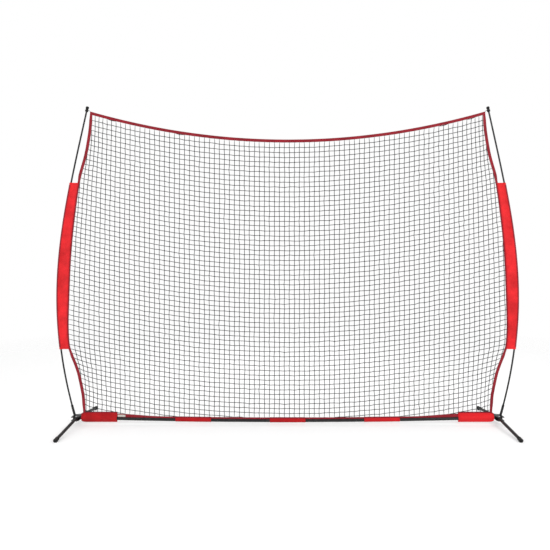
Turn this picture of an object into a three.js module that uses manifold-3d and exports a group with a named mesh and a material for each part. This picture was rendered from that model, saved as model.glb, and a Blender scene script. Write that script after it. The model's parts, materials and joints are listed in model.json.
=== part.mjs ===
// A bow-framed pitching net: two bent poles stand in sockets on a four-section base bar,
// with folding legs at both ends, and stretch a square-hung net between them.
// Units are millimetres. X runs along the base bar, Y is the depth and +Z is up.
// The origin is on the floor under the middle of the bar.
import * as THREE from 'three';
import { mergeVertices } from 'three/addons/utils/BufferGeometryUtils.js';
import Module from 'manifold-3d';

const wasm = await Module();
wasm.setup();

// ---- Clearances -------------------------------------------------------------------
const GAP = 0.3; // between pieces that touch
const SLIP = 0.4; // round a tube that slides in another
const TURN = 0.5; // between a leg and the plates that it turns in

// ---- Frame ------------------------------------------------------------------------
const FRAME_WIDTH = 3658; // between the poles' feet: 12 ft
const FRAME_HEIGHT = 2743; // floor to the top of the tip caps: 9 ft
const POLE_RADIUS = 7;
const POLE_WALL = 3;
const POLE_SECTION_COUNT = 3;
const POLE_TIP_INSET = 102; // how far the tip stands inboard of the foot
const POLE_FOOT_LEAN = 16.1; // degrees outward at the foot
const POLE_TIP_LEAN = 12.6; // degrees inward at the tip
const FOOT_BOW = 0.38; // length of the bow's lower handle, as a share of the height
const TIP_BOW = 0.365; // length of its upper handle
const SHOCK_CORD_RADIUS = 1.5;
const FERRULE_WALL = 1.3;
const FERRULE_LENGTH = 110;
const SOCKET_WALL = 2.4;
const SOCKET_LENGTH = 112;

// ---- Tip caps and corner loops ----------------------------------------------------
const CAP_ROOF = 15; // rubber above the pole's end
const CAP_SKIRT = 31; // rubber below the pole's end
const CAP_RADIUS = 13.5;
const CAP_WALL = 2.6; // rubber round the pole in the groove
const CAP_GROOVE_TOP = 5; // below the pole's end
const CAP_GROOVE_HEIGHT = 8;
const CAP_BEVEL = 3.5;
const LOOP_RADIUS = 1.5; // elastic cord
const LOOP_SPREAD = 2; // half the distance between the loop's two ends

// ---- Base bar ---------------------------------------------------------------------
const BAR_RADIUS = 12.7;
const BAR_WALL = 1.5;
const BAR_MIDDLE_HEIGHT = 32; // centre line above the floor at mid-span
const BAR_SAG = 26; // how much lower the middle is than the ends
const SWAGE_LENGTH = 60; // reduced end that enters the next section
const SWAGE_NECK = 8; // wall left at full size where the end is reduced
const BUTTON_RADIUS = 3.5;
const BUTTON_PROUD = 2.4;
const BUTTON_FLANGE_RADIUS = 5;
const BUTTON_FLANGE = 1.2;
const SPRING_LEAF = 0.8;
const SPRING_WIDTH = 6;
const SPRING_ARM = 20; // from the button's axis to the bend

// ---- Corner brackets and legs -----------------------------------------------------
const PLATE = 3;
const BRACKET_INBOARD = 43; // plates' reach inboard of the pole's foot
const BRACKET_OUTBOARD = 24;
const BRACKET_CORNER = 14;
const WEB_OFFSET = 5; // web's inner face outboard of the pole's foot
const HINGE_INBOARD = 20; // bolt's distance inboard of the pole's foot
const HINGE_OFFSET = 34; // bolt's distance from the bar's centre line
const HINGE_MARGIN = 16; // plate outside the bolt
const BOLT_RADIUS = 4;
const BOLT_HEAD_RADIUS = 7.5;
const BOLT_HEAD = 6;
const NUT = 8;
const BOLT_END = 2; // thread that shows below the nut
const LEG_RADIUS = 12.7;
const LEG_WALL = 1.5;
const LEG_REACH = 457; // from the net's plane to the leg's tip
const LEG_TIP_HEIGHT = 15; // centre line above the floor
const LEG_STUB = 15; // tube past the bolt, towards the bar
const LEG_STRAIGHT = 24; // level stretch outside the bolt
const LEG_BEND = 16; // length of the bend after it
const FOOT_WALL = 3;
const FOOT_LENGTH = 45;
const FOOT_END = 4; // rubber past the leg's tip
const SOLE_WIDTH = 22;
const SOLE_LENGTH = 34;

// ---- Net and its cloth ------------------------------------------------------------
const NET_COLUMNS = 20;
const NET_ROWS = 15;
const TWINE = 4;
const TWINE_DEPTH = 3.4;
const TAPE_DEPTH = 3.4;
const SIDE_TAPE = 19;
const TOP_TAPE = 20;
const BOTTOM_TAPE = 13; // over the middle of the bar
const CORNER_TAPE = 29; // by the corners
const TAPE_WIDENS = [1080, 1480]; // from the middle of the bar
const NET_CORNER_DROP = 45; // net's upper corners below the caps' tops
const TOP_SAG = 237;
// Distance from the pole's centre line in to the net's edge, at shares of the height.
const EDGE_INSETS = [
  [0.036, 78], [0.062, 96], [0.095, 111], [0.155, 112], [0.186, 100], [0.218, 78],
  [0.244, 61], [0.3, 64], [0.375, 77], [0.456, 82], [0.626, 70], [0.752, 56],
  [0.784, 57], [0.847, 69], [0.91, 62], [0.948, 50], [0.984, 30],
];
const SLEEVE_WALL = 1.8;
const SIDE_SLEEVE = [649, 2081]; // heights of its lower and upper ends
const POCKET_SLACK = 1.2; // round the ferrules
const BASE_SLEEVE_LENGTH = 305;
const INNER_SLEEVE_AT = [-812, 0, 812];
const END_SLEEVE_CLEAR = 11.5; // from the end sleeves to the bracket's plates
const END_SLEEVE_BOTTOM = 21;
const END_SLEEVE_TOP = 107;
const FLAP_THICKNESS = 6;

// ---- Finishes: colour, roughness, metalness ---------------------------------------
const FINISH = {
  powder: [0x1d1d1f, 0.55, 0.3],
  zinc: [0xa8abae, 0.35, 1],
  rubber: [0x141414, 0.9, 0],
  fibreglass: [0x2a2b2e, 0.35, 0],
  elastic: [0x1b1b1c, 0.9, 0],
  twine: [0x232426, 0.95, 0],
  tape: [0xa01c2e, 0.85, 0],
  cloth: [0xe0232f, 0.8, 0],
};

// ---- Shared shapes ----------------------------------------------------------------
const rad = THREE.MathUtils.degToRad;
const { lerp, smoothstep } = THREE.MathUtils;
const at = (x, y, z) => new THREE.Vector3(x, y, z);
const middle = FRAME_WIDTH / 2;
const shares = (count) => Array.from({ length: count + 1 }, (_, k) => k / count);

// One closed body: shared corners merged, faces pointing out.
function solid(geometry) {
  const bare = geometry.clone();
  for (const name of Object.keys(bare.attributes)) {
    if (name !== 'position') bare.deleteAttribute(name);
  }
  const merged = mergeVertices(bare, 1e-4);
  const p = merged.attributes.position;
  const whole = [];
  for (let k = 0; k < merged.index.count; k += 3) {
    const [a, b, c] = [0, 1, 2].map((n) => merged.index.getX(k + n));
    if (a !== b && b !== c && c !== a) whole.push(a, b, c);
  }
  const corner = [at(), at(), at()];
  let volume = 0;
  for (let k = 0; k < whole.length; k += 3) {
    corner.forEach((v, n) => v.fromBufferAttribute(p, whole[k + n]));
    volume += corner[0].dot(corner[1].clone().cross(corner[2]));
  }
  merged.setIndex(volume < 0 ? whole.reverse() : whole);
  return merged;
}

function toManifold(geometry) {
  const g = solid(geometry);
  const vertProperties = new Float32Array(g.attributes.position.array);
  const triVerts = new Uint32Array(g.index.array);
  return new wasm.Manifold(new wasm.Mesh({ numProp: 3, vertProperties, triVerts }));
}

function fromManifold(manifold) {
  const mesh = manifold.getMesh();
  const geometry = new THREE.BufferGeometry();
  const position = new THREE.BufferAttribute(new Float32Array(mesh.vertProperties), 3);
  geometry.setAttribute('position', position);
  geometry.setIndex([...mesh.triVerts]);
  return geometry;
}

const join = (...pieces) =>
  fromManifold(pieces.map(toManifold).reduce((whole, next) => whole.add(next)));
const cut = (piece, ...tools) =>
  fromManifold(tools.map(toManifold).reduce((rest, tool) => rest.subtract(tool), toManifold(piece)));

function box(low, high) {
  const size = high.clone().sub(low);
  const geometry = new THREE.BoxGeometry(size.x, size.y, size.z);
  return geometry.translate(...low.clone().add(high).multiplyScalar(0.5));
}

// Everything of the frame that lies below a height.
const below = (height) =>
  box(at(-FRAME_WIDTH, -FRAME_WIDTH, height - FRAME_HEIGHT), at(FRAME_WIDTH, FRAME_WIDTH, height));

// Corners of a round section. A bore's flats, not its corners, lie at the radius.
function circle(radius, sides, isBore = false) {
  const reach = isBore ? radius / Math.cos(Math.PI / sides) : radius;
  return Array.from({ length: sides }, (_, k) => {
    const angle = ((k + 0.5) / sides) * 2 * Math.PI;
    return new THREE.Vector2(reach * Math.cos(angle), reach * Math.sin(angle));
  });
}

// A round bar or tube along a path.
function sweep(path, { radius, bore = 0, sides, steps }) {
  const shape = new THREE.Shape(circle(radius, sides));
  if (bore) shape.holes.push(new THREE.Path(circle(bore, sides, true)));
  return new THREE.ExtrudeGeometry(shape, { steps, extrudePath: path, bevelEnabled: false });
}

// A straight round bar between two points.
function rod(radius, from, to, { sides = 12, isBore = false } = {}) {
  const reach = isBore ? radius / Math.cos(Math.PI / sides) : radius;
  const run = to.clone().sub(from);
  const geometry = new THREE.CylinderGeometry(reach, reach, run.length(), sides);
  const turn = new THREE.Quaternion().setFromUnitVectors(at(0, 1, 0), run.clone().normalize());
  geometry.applyQuaternion(turn);
  return geometry.translate(...from.clone().add(to).multiplyScalar(0.5));
}

// A flat outline given a thickness along Z, from z = 0 up.
function plate(shape, thickness, curveSegments = 4) {
  return new THREE.ExtrudeGeometry(shape, { depth: thickness, bevelEnabled: false, curveSegments });
}

// A body through stations that share one number of corners. Each station gives its outline,
// and its hole if it has one, in its own two coordinates, and where they stand in space.
function loft(stations) {
  const first = stations[0];
  const sets = [first.outline, ...(first.hole ? [first.hole] : [])];
  const size = sets.reduce((sum, set) => sum + set.length, 0);
  const position = [];
  const index = [];
  for (const { outline, hole = [], place } of stations) {
    for (const [u, v] of [...outline, ...hole]) position.push(...place(u, v));
  }
  let start = 0;
  for (const set of sets) {
    const inward = set !== first.outline;
    for (let s = 0; s + 1 < stations.length; s += 1) {
      for (let k = 0; k < set.length; k += 1) {
        const a = s * size + start + k;
        const b = s * size + start + ((k + 1) % set.length);
        const quad = [a, b, b + size, a, b + size, a + size];
        index.push(...(inward ? quad.reverse() : quad));
      }
    }
    start += set.length;
  }
  const flat = sets.map((set) => set.map(([u, v]) => new THREE.Vector2(u, v)));
  const turn = THREE.ShapeUtils.isClockWise(flat[0]) ? -1 : 1;
  const last = (stations.length - 1) * size;
  for (const [a, b, c] of THREE.ShapeUtils.triangulateShape(flat[0], flat.slice(1))) {
    const [p, q, r] = [a, b, c].map((k) => flat.flat()[k]);
    const area = (q.x - p.x) * (r.y - p.y) - (r.x - p.x) * (q.y - p.y);
    const front = area * turn > 0 ? [c, b, a] : [a, b, c];
    index.push(...front, ...front.map((k) => k + last).reverse());
  }
  const geometry = new THREE.BufferGeometry();
  geometry.setAttribute('position', new THREE.Float32BufferAttribute(position, 3));
  geometry.setIndex(index);
  return geometry;
}

// A round tube through points that run level or nearly so, mitred at each bend.
function pipe(points, { radius, bore, sides }) {
  const pairs = (corners) => corners.map((p) => [p.x, p.y]);
  const outline = pairs(circle(radius, sides));
  const hole = pairs(circle(bore, sides, true));
  return loft(points.map((point, k) => {
    const before = points[Math.max(0, k - 1)];
    const after = points[Math.min(points.length - 1, k + 1)];
    const run = after.clone().sub(before).normalize();
    const across = run.clone().cross(at(0, 0, 1)).normalize();
    const up = across.clone().cross(run);
    const place = (u, v) => point.clone().addScaledVector(across, u).addScaledVector(up, v);
    return { outline, hole, place };
  }));
}

// A smooth value through a list of [where, value] pairs.
function through(list, where) {
  const last = list.length - 1;
  let k = list.findIndex(([place]) => place > where) - 1;
  if (k < -1) k = last - 1;
  k = Math.max(0, Math.min(last - 1, k));
  const slope = (n) => {
    const [a, b] = [list[Math.max(0, n - 1)], list[Math.min(last, n + 1)]];
    return (b[1] - a[1]) / (b[0] - a[0]);
  };
  const [[x0, y0], [x1, y1]] = [list[k], list[k + 1]];
  const span = x1 - x0;
  const t = Math.max(0, Math.min(1, (where - x0) / span));
  const [m0, m1] = [slope(k) * span, slope(k + 1) * span];
  const [t2, t3] = [t * t, t * t * t];
  return (2 * t3 - 3 * t2 + 1) * y0 + (t3 - 2 * t2 + t) * m0 + (3 * t2 - 2 * t3) * y1 + (t3 - t2) * m1;
}

// A straight-sided line through a list of [where, value] pairs.
function along(list, where) {
  const found = list.findIndex(([place]) => place > where);
  const k = Math.max(0, found < 0 ? list.length - 2 : found - 1);
  const [[x0, y0], [x1, y1]] = [list[k], list[k + 1]];
  return lerp(y0, y1, (where - x0) / (x1 - x0));
}

// A share of another curve, measured along its length.
class Stretch extends THREE.Curve {
  constructor(base, from, to) {
    super();
    Object.assign(this, { base, from, to });
  }

  getPoint(t) {
    return this.base.getPointAt(lerp(this.from, this.to, t));
  }
}

// ---- Pole's bow, for the right-hand side ------------------------------------------
const footLean = rad(POLE_FOOT_LEAN);
const tipLean = rad(POLE_TIP_LEAN);
const barEndHeight = BAR_MIDDLE_HEIGHT + BAR_SAG;
const poleFoot = at(middle, 0, barEndHeight);
const capRise = CAP_ROOF * Math.cos(tipLean) + (CAP_RADIUS - CAP_BEVEL) * Math.sin(tipLean);
const poleTip = at(middle - POLE_TIP_INSET, 0, FRAME_HEIGHT - capRise);
const footPull = FOOT_BOW * FRAME_HEIGHT;
const tipPull = TIP_BOW * FRAME_HEIGHT;
const bow = new THREE.CubicBezierCurve3(
  poleFoot,
  poleFoot.clone().add(at(footPull * Math.sin(footLean), 0, footPull * Math.cos(footLean))),
  poleTip.clone().add(at(tipPull * Math.sin(tipLean), 0, -tipPull * Math.cos(tipLean))),
  poleTip,
);
bow.arcLengthDivisions = 400;
const poleLength = bow.getLength();
const stretch = (from, to) => new Stretch(bow, from / poleLength, to / poleLength);

// How far from the middle the pole's centre line is at a height.
function poleAt(height) {
  let [low, high] = [0, 1];
  for (let k = 0; k < 40; k += 1) {
    const t = (low + high) / 2;
    if (bow.getPoint(t).z < height) low = t;
    else high = t;
  }
  return bow.getPoint(low).x;
}

// ---- Heights of the bracket's plates ----------------------------------------------
const plateGap = Math.max(BAR_RADIUS, LEG_RADIUS) + TURN;
const topPlate = barEndHeight + plateGap;
const bottomPlate = barEndHeight - plateGap - PLATE;
const socketFloor = topPlate + PLATE + GAP;

function socket() {
  const bore = POLE_RADIUS + SLIP;
  const tube = sweep(stretch(0, SOCKET_LENGTH), { radius: bore + SOCKET_WALL, bore, sides: 12, steps: 2 });
  return cut(tube, below(socketFloor));
}

// ---- Poles, ferrules, shock cords and caps ----------------------------------------
const sectionLength = poleLength / POLE_SECTION_COUNT;
const jointHalf = GAP / 2;

function poleSection(number) {
  const from = number * sectionLength + (number ? jointHalf : 0);
  const to = (number + 1) * sectionLength - (number + 1 < POLE_SECTION_COUNT ? jointHalf : 0);
  const size = { radius: POLE_RADIUS, bore: POLE_RADIUS - POLE_WALL, sides: 8, steps: 9 };
  const tube = sweep(stretch(from, to), size);
  return number ? tube : cut(tube, below(socketFloor));
}

function ferrule(number) {
  const joint = number * sectionLength;
  const bore = POLE_RADIUS + SLIP;
  const path = stretch(joint - FERRULE_LENGTH / 2, joint + FERRULE_LENGTH / 2);
  return sweep(path, { radius: bore + FERRULE_WALL, bore, sides: 10, steps: 2 });
}

function shockCord() {
  const cord = sweep(stretch(0, poleLength), { radius: SHOCK_CORD_RADIUS, sides: 5, steps: 24 });
  return cut(cord, below(socketFloor));
}

const grooveRadius = POLE_RADIUS + SLIP + CAP_WALL;
const grooveMiddle = -CAP_GROOVE_TOP - CAP_GROOVE_HEIGHT / 2;

// Turned about the pole's axis, with the pole's end at height 0.
function tipCap() {
  const bore = (POLE_RADIUS + SLIP) / Math.cos(Math.PI / 14);
  const low = -CAP_GROOVE_TOP - CAP_GROOVE_HEIGHT;
  const profile = [
    [0, GAP], [bore, GAP], [bore, -CAP_SKIRT], [CAP_RADIUS - CAP_BEVEL, -CAP_SKIRT],
    [CAP_RADIUS, -CAP_SKIRT + CAP_BEVEL], [CAP_RADIUS, low - CAP_BEVEL / 2], [grooveRadius, low],
    [grooveRadius, -CAP_GROOVE_TOP], [CAP_RADIUS, -CAP_GROOVE_TOP + CAP_BEVEL / 2],
    [CAP_RADIUS, CAP_ROOF - 2 * CAP_BEVEL], [CAP_RADIUS - CAP_BEVEL, CAP_ROOF - CAP_BEVEL / 2], [0, CAP_ROOF],
  ];
  const points = profile.map(([r, z]) => new THREE.Vector2(r, z));
  return new THREE.LatheGeometry(points, 14).rotateX(Math.PI / 2);
}

// ---- Base bar ---------------------------------------------------------------------
const bracketStart = middle - BRACKET_INBOARD;
const barEnd = middle + WEB_OFFSET - GAP;
const swageRadius = BAR_RADIUS - BAR_WALL - GAP;
const swageBore = swageRadius - BAR_WALL;

const barHeight = (x) => BAR_MIDDLE_HEIGHT + BAR_SAG * Math.min(1, Math.abs(x) / bracketStart) ** 2;

// Points along the bar's centre line, with its level ends in the brackets kept straight.
function barLine(from, to, count) {
  const inside = (x) => Math.max(-bracketStart, Math.min(bracketStart, x));
  const knots = shares(count).map((share) => lerp(inside(from), inside(to), share));
  if (from < knots[0]) knots.unshift(from);
  if (to > knots[knots.length - 1]) knots.push(to);
  return knots.map((x) => at(x, 0, barHeight(x)));
}

const barJoints = [-FRAME_WIDTH / 4, 0, FRAME_WIDTH / 4];
const buttonAt = (joint) => joint + SWAGE_LENGTH / 2;

// The hole that a snap button stands in, through the rear wall only.
function buttonHole(joint) {
  const x = buttonAt(joint);
  const radius = BUTTON_RADIUS + GAP;
  return rod(radius, at(x, 0, barHeight(x)), at(x, 2 * BAR_RADIUS, barHeight(x)), { isBore: true });
}

// One section: a tube with a reduced end that enters the next one, and button holes.
function barSection(number) {
  const joint = barJoints[number];
  const sides = 12;
  const from = number ? barJoints[number - 1] + GAP : -barEnd;
  const run = barLine(from, joint ?? barEnd, 3);
  const pieces = [pipe(run, { radius: BAR_RADIUS, bore: BAR_RADIUS - BAR_WALL, sides })];
  if (joint !== undefined) {
    const neck = barLine(joint - SWAGE_NECK, joint, 1);
    const swage = barLine(joint - SWAGE_NECK / 2, joint + SWAGE_LENGTH, 1);
    pieces.push(pipe(neck, { radius: BAR_RADIUS, bore: swageBore, sides }));
    pieces.push(pipe(swage, { radius: swageRadius, bore: swageBore, sides }));
  }
  const holes = barJoints.slice(Math.max(0, number - 1), number + 1).map(buttonHole);
  return cut(join(...pieces), ...holes);
}

// How deep a flat of some half-width can sit in a bore.
const seatIn = (bore, halfWidth) => Math.sqrt(bore ** 2 - halfWidth ** 2) - GAP;
const flangeTop = seatIn(swageBore, BUTTON_FLANGE_RADIUS);
const flangeBottom = flangeTop - BUTTON_FLANGE;

function snapButton() {
  const top = BAR_RADIUS + BUTTON_PROUD;
  const round = BUTTON_RADIUS / 3;
  const profile = [
    [0, flangeBottom], [BUTTON_FLANGE_RADIUS, flangeBottom], [BUTTON_FLANGE_RADIUS, flangeTop],
    [BUTTON_RADIUS, flangeTop], [BUTTON_RADIUS, top - round], [BUTTON_RADIUS - round, top], [0, top],
  ];
  return new THREE.LatheGeometry(profile.map(([r, y]) => new THREE.Vector2(r, y)), 14);
}

// A bent leaf: one arm under the button's flange, the other on the far wall of the bore.
function leafSpring() {
  const upper = flangeBottom - GAP;
  const lower = -seatIn(swageBore, SPRING_WIDTH / 2);
  const centre = (upper + lower) / 2;
  const outer = (upper - lower) / 2;
  const inner = outer - SPRING_LEAF;
  const tail = -BUTTON_FLANGE_RADIUS;
  const shape = new THREE.Shape();
  shape.moveTo(tail, upper);
  shape.lineTo(SPRING_ARM, upper);
  shape.absarc(SPRING_ARM, centre, outer, Math.PI / 2, -Math.PI / 2, true);
  shape.lineTo(tail, lower);
  shape.lineTo(tail, lower + SPRING_LEAF);
  shape.lineTo(SPRING_ARM, lower + SPRING_LEAF);
  shape.absarc(SPRING_ARM, centre, inner, -Math.PI / 2, Math.PI / 2, false);
  shape.lineTo(tail, upper - SPRING_LEAF);
  return plate(shape, SPRING_WIDTH, 6).translate(0, 0, -SPRING_WIDTH / 2);
}

// ---- Corner bracket, legs and feet ------------------------------------------------
const hingeAt = middle - HINGE_INBOARD;
const holeRadius = BOLT_RADIUS + GAP;

function bracketPlate(bottom) {
  const [x0, x1] = [bracketStart, middle + BRACKET_OUTBOARD];
  const y1 = HINGE_OFFSET + HINGE_MARGIN;
  const c = BRACKET_CORNER;
  const shape = new THREE.Shape();
  shape.moveTo(x0 + c, -y1);
  shape.lineTo(x1 - c, -y1);
  shape.absarc(x1 - c, -y1 + c, c, -Math.PI / 2, 0, false);
  shape.absarc(x1 - c, y1 - c, c, 0, Math.PI / 2, false);
  shape.absarc(x0 + c, y1 - c, c, Math.PI / 2, Math.PI, false);
  shape.absarc(x0 + c, -y1 + c, c, Math.PI, 1.5 * Math.PI, false);
  return plate(shape, PLATE).translate(0, 0, bottom);
}

function bracket() {
  const webStart = middle + WEB_OFFSET;
  const webHalf = HINGE_OFFSET + HINGE_MARGIN - BRACKET_CORNER;
  const half = PLATE / 2;
  const web = box(at(webStart, -webHalf, bottomPlate + half), at(webStart + PLATE, webHalf, topPlate + half));
  const holes = [-1, 1].map((way) => {
    const y = way * HINGE_OFFSET;
    return rod(holeRadius, at(hingeAt, y, 0), at(hingeAt, y, 2 * topPlate), { sides: 10, isBore: true });
  });
  return cut(join(bracketPlate(bottomPlate), web, bracketPlate(topPlate)), ...holes);
}

// A leg points along +Y from its bolt, which stands at the origin.
const legTip = at(0, LEG_REACH - HINGE_OFFSET, LEG_TIP_HEIGHT - barEndHeight);
const legKnee = at(0, LEG_STRAIGHT + LEG_BEND / 2, 0);
const legRun = legTip.clone().sub(legKnee).normalize();

function leg() {
  const bend = LEG_BEND / 2;
  const points = [
    at(0, -LEG_STUB, 0), at(0, LEG_STRAIGHT, 0), legKnee.clone().addScaledVector(legRun, bend), legTip,
  ];
  const tube = pipe(points, { radius: LEG_RADIUS, bore: LEG_RADIUS - LEG_WALL, sides: 12 });
  const reach = 2 * LEG_RADIUS;
  return cut(tube, rod(holeRadius, at(0, 0, -reach), at(0, 0, reach), { sides: 10, isBore: true }));
}

function footCap() {
  const mouth = legTip.clone().addScaledVector(legRun, -FOOT_LENGTH);
  const beyond = legTip.clone().addScaledVector(legRun, -FOOT_LENGTH - FOOT_WALL);
  const end = legTip.clone().addScaledVector(legRun, FOOT_END);
  const boreEnd = legTip.clone().addScaledVector(legRun, GAP);
  const shell = rod(LEG_RADIUS + GAP + FOOT_WALL, mouth, end);
  const bore = rod(LEG_RADIUS + GAP, beyond, boreEnd, { isBore: true });
  const half = SOLE_WIDTH / 2;
  const sole = box(at(-half, legTip.y - SOLE_LENGTH, -barEndHeight), at(half, legTip.y, legTip.z));
  return cut(join(shell, sole), bore, below(-barEndHeight));
}

// Bolt and nut stand on the hinge's axis, in the frame's heights.
function hingeBolt() {
  const seat = topPlate + PLATE + GAP;
  const end = bottomPlate - GAP - NUT - BOLT_END;
  const head = rod(BOLT_HEAD_RADIUS, at(0, 0, seat), at(0, 0, seat + BOLT_HEAD), { sides: 6 });
  return join(head, rod(BOLT_RADIUS, at(0, 0, end), at(0, 0, seat + BOLT_HEAD / 2), { sides: 12 }));
}

function lockNut() {
  const top = bottomPlate - GAP;
  const hex = rod(BOLT_HEAD_RADIUS, at(0, 0, top - NUT), at(0, 0, top), { sides: 6 });
  return cut(hex, rod(holeRadius, at(0, 0, top - 2 * NUT), at(0, 0, topPlate), { sides: 10, isBore: true }));
}

// ---- Outline of the net -----------------------------------------------------------
const edgeInset = (height) => through(EDGE_INSETS, height / FRAME_HEIGHT);
const edgeAt = (height) => poleAt(height) - edgeInset(height);
const cornerHeight = FRAME_HEIGHT - NET_CORNER_DROP;
const cornerAt = edgeAt(cornerHeight);
const topEdge = (x) => cornerHeight - TOP_SAG * (1 - (x / cornerAt) ** 2);
const barTop = (x) => barHeight(x) + BAR_RADIUS + GAP;
const bottomEdge = (x) =>
  barTop(x) + lerp(BOTTOM_TAPE, CORNER_TAPE, smoothstep(Math.abs(x), ...TAPE_WIDENS));

// Inner edge of the tape, where the mesh begins, at the columns and rows of the lattice.
const innerSide = (height) => edgeAt(height) - SIDE_TAPE - GAP;
const meshTopCorner = topEdge(innerSide(cornerHeight - TOP_TAPE)) - TOP_TAPE - GAP;
const meshBottomCorner = bottomEdge(innerSide(END_SLEEVE_TOP)) + GAP;
const rowHeights = shares(NET_ROWS).map((v) => lerp(meshBottomCorner, meshTopCorner, v));
const sideLine = rowHeights.map((height) => [height, innerSide(height)]);
const meshTopHalf = innerSide(meshTopCorner);
const meshBottomHalf = innerSide(meshBottomCorner);
const columns = shares(NET_COLUMNS).map((u) => 2 * u - 1);
const topLine = columns.map((u) => [u * meshTopHalf, topEdge(u * meshTopHalf) - TOP_TAPE - GAP]);
const bottomLine = columns.map((u) => [u * meshBottomHalf, bottomEdge(u * meshBottomHalf) + GAP]);

// Where the mesh is, for a share across (-1 to 1) and a share up (0 to 1).
function meshPoint(u, v) {
  const x = u * along(sideLine, lerp(meshBottomCorner, meshTopCorner, v));
  const top = along(topLine, u * meshTopHalf);
  const bottom = along(bottomLine, u * meshBottomHalf);
  return [x, lerp(bottom, top, v)];
}

// A flat lattice: every line of twine has two edges, and the spaces between lines are open.
function net() {
  const edges = (lines, span) => lines.flatMap((line, k) => {
    const half = TWINE / span;
    const low = k === 0 ? 0 : k === lines.length - 1 ? -2 * half : -half;
    return [line + low, line + low + 2 * half];
  });
  const across = edges(columns, FRAME_WIDTH);
  const up = edges(shares(NET_ROWS), 2 * (meshTopCorner - meshBottomCorner));
  const [wide, tall] = [across.length, up.length];
  const position = [];
  for (const side of [-1, 1]) {
    for (const v of up) {
      for (const u of across) {
        const [x, z] = meshPoint(u, v);
        position.push(x, (side * TWINE_DEPTH) / 2, z);
      }
    }
  }
  const isOpen = (i, j) =>
    i < 0 || j < 0 || i >= wide - 1 || j >= tall - 1 || (i % 2 === 1 && j % 2 === 1);
  const corner = (i, j, back) => (back * tall + j) * wide + i;
  const index = [];
  const quad = (a, b, c, d) => index.push(a, b, c, a, c, d);
  for (let j = 0; j < tall - 1; j += 1) {
    for (let i = 0; i < wide - 1; i += 1) {
      if (isOpen(i, j)) continue;
      const ring = [[i, j], [i + 1, j], [i + 1, j + 1], [i, j + 1]];
      quad(...ring.map(([a, b]) => corner(a, b, 0)));
      quad(...ring.map(([a, b]) => corner(a, b, 1)).reverse());
      [[i, j - 1], [i + 1, j], [i, j + 1], [i - 1, j]].forEach(([a, b], k) => {
        if (!isOpen(a, b)) return;
        const [p, q] = [ring[k], ring[(k + 1) % 4]];
        quad(corner(...p, 0), corner(...p, 1), corner(...q, 1), corner(...q, 0));
      });
    }
  }
  const geometry = new THREE.BufferGeometry();
  geometry.setAttribute('position', new THREE.Float32BufferAttribute(position, 3));
  geometry.setIndex(index);
  return cut(geometry, ...baseSleeves.map(clearance));
}

// A tape between two edges, given as pairs of [x, z] points.
function tape(pairs) {
  const half = TAPE_DEPTH / 2;
  const outline = [[0, -half], [1, -half], [1, half], [0, half]];
  return loft(pairs.map(([[x0, z0], [x1, z1]]) => {
    const place = (u, y) => [lerp(x0, x1, u), y, lerp(z0, z1, u)];
    return { outline, place };
  }));
}

function topTape() {
  return tape(topLine.map(([x, z]) => [[x, z + GAP], [x, z + GAP + TOP_TAPE]]));
}

function bottomTape() {
  const cornerX = meshBottomHalf + GAP + SIDE_TAPE;
  const knots = [-cornerX, ...bottomLine.map(([x]) => x), cornerX];
  return tape(knots.map((x) => [[x, barTop(x)], [x, bottomEdge(x)]]));
}

function sideTape() {
  const start = END_SLEEVE_TOP + GAP;
  const knots = [start, ...rowHeights.filter((z) => z > start)];
  const pairs = knots.map((z) => {
    const x = along(sideLine, z) + GAP;
    return [[x, z], [x + SIDE_TAPE, z]];
  });
  const ends = pairs[pairs.length - 1].map(([x]) => [x, topEdge(x)]);
  return tape([...pairs, ends]);
}

// ---- Cloth sleeves ----------------------------------------------------------------
const ferruleRadius = POLE_RADIUS + SLIP + FERRULE_WALL;

// A pocket round the pole that narrows to a flat web along the net's edge.
function sideSleeve() {
  const pocket = ferruleRadius + POCKET_SLACK;
  const outside = pocket + SLEEVE_WALL;
  const arc = shares(6).map((share) => rad(lerp(75, 285, share)));
  const round = arc.map((a) => [outside * Math.cos(a), outside * Math.sin(a)]);
  const hole = circle(pocket, 10, true).map((p) => [p.x, p.y]);
  const knots = sideLine.map(([z]) => z).filter((z) => z > SIDE_SLEEVE[0] && z < SIDE_SLEEVE[1]);
  const stops = [SIDE_SLEEVE[0], ...knots, SIDE_SLEEVE[1]];
  const heights = stops.flatMap((z, k) => (k ? [(z + stops[k - 1]) / 2, z] : [z]));
  return loft(heights.map((z) => {
    const centre = poleAt(z);
    const web = centre - along(sideLine, z) - 2 * GAP - SIDE_TAPE;
    const half = TAPE_DEPTH / 2;
    const outline = [...round, [web, -half], [web, half]];
    return { outline, hole, place: (u, y) => [centre - u, y, z] };
  }));
}

const pocketHalf = BAR_RADIUS + BUTTON_PROUD + 4 * GAP;
const slotHalf = TAPE_DEPTH / 2 + GAP;
const mirrored = (half) => [...half, ...half.filter(([y]) => y > 0).reverse().map(([y, z]) => [-y, z])];

// Half a cross-section of a base sleeve, about the bar's centre, grown by the cloth's wall.
function pocketOutline(wall, bottom, top) {
  const [w, s] = [pocketHalf + wall, slotHalf + wall];
  return [
    [0, -bottom], [0.6 * w, -0.93 * (BAR_RADIUS + 2 * GAP + wall)], [w, -0.3 * w], [w, 0.3 * w],
    [0.6 * w, 0.77 * w], [s, 0.93 * w], [s, top],
  ];
}

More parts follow.
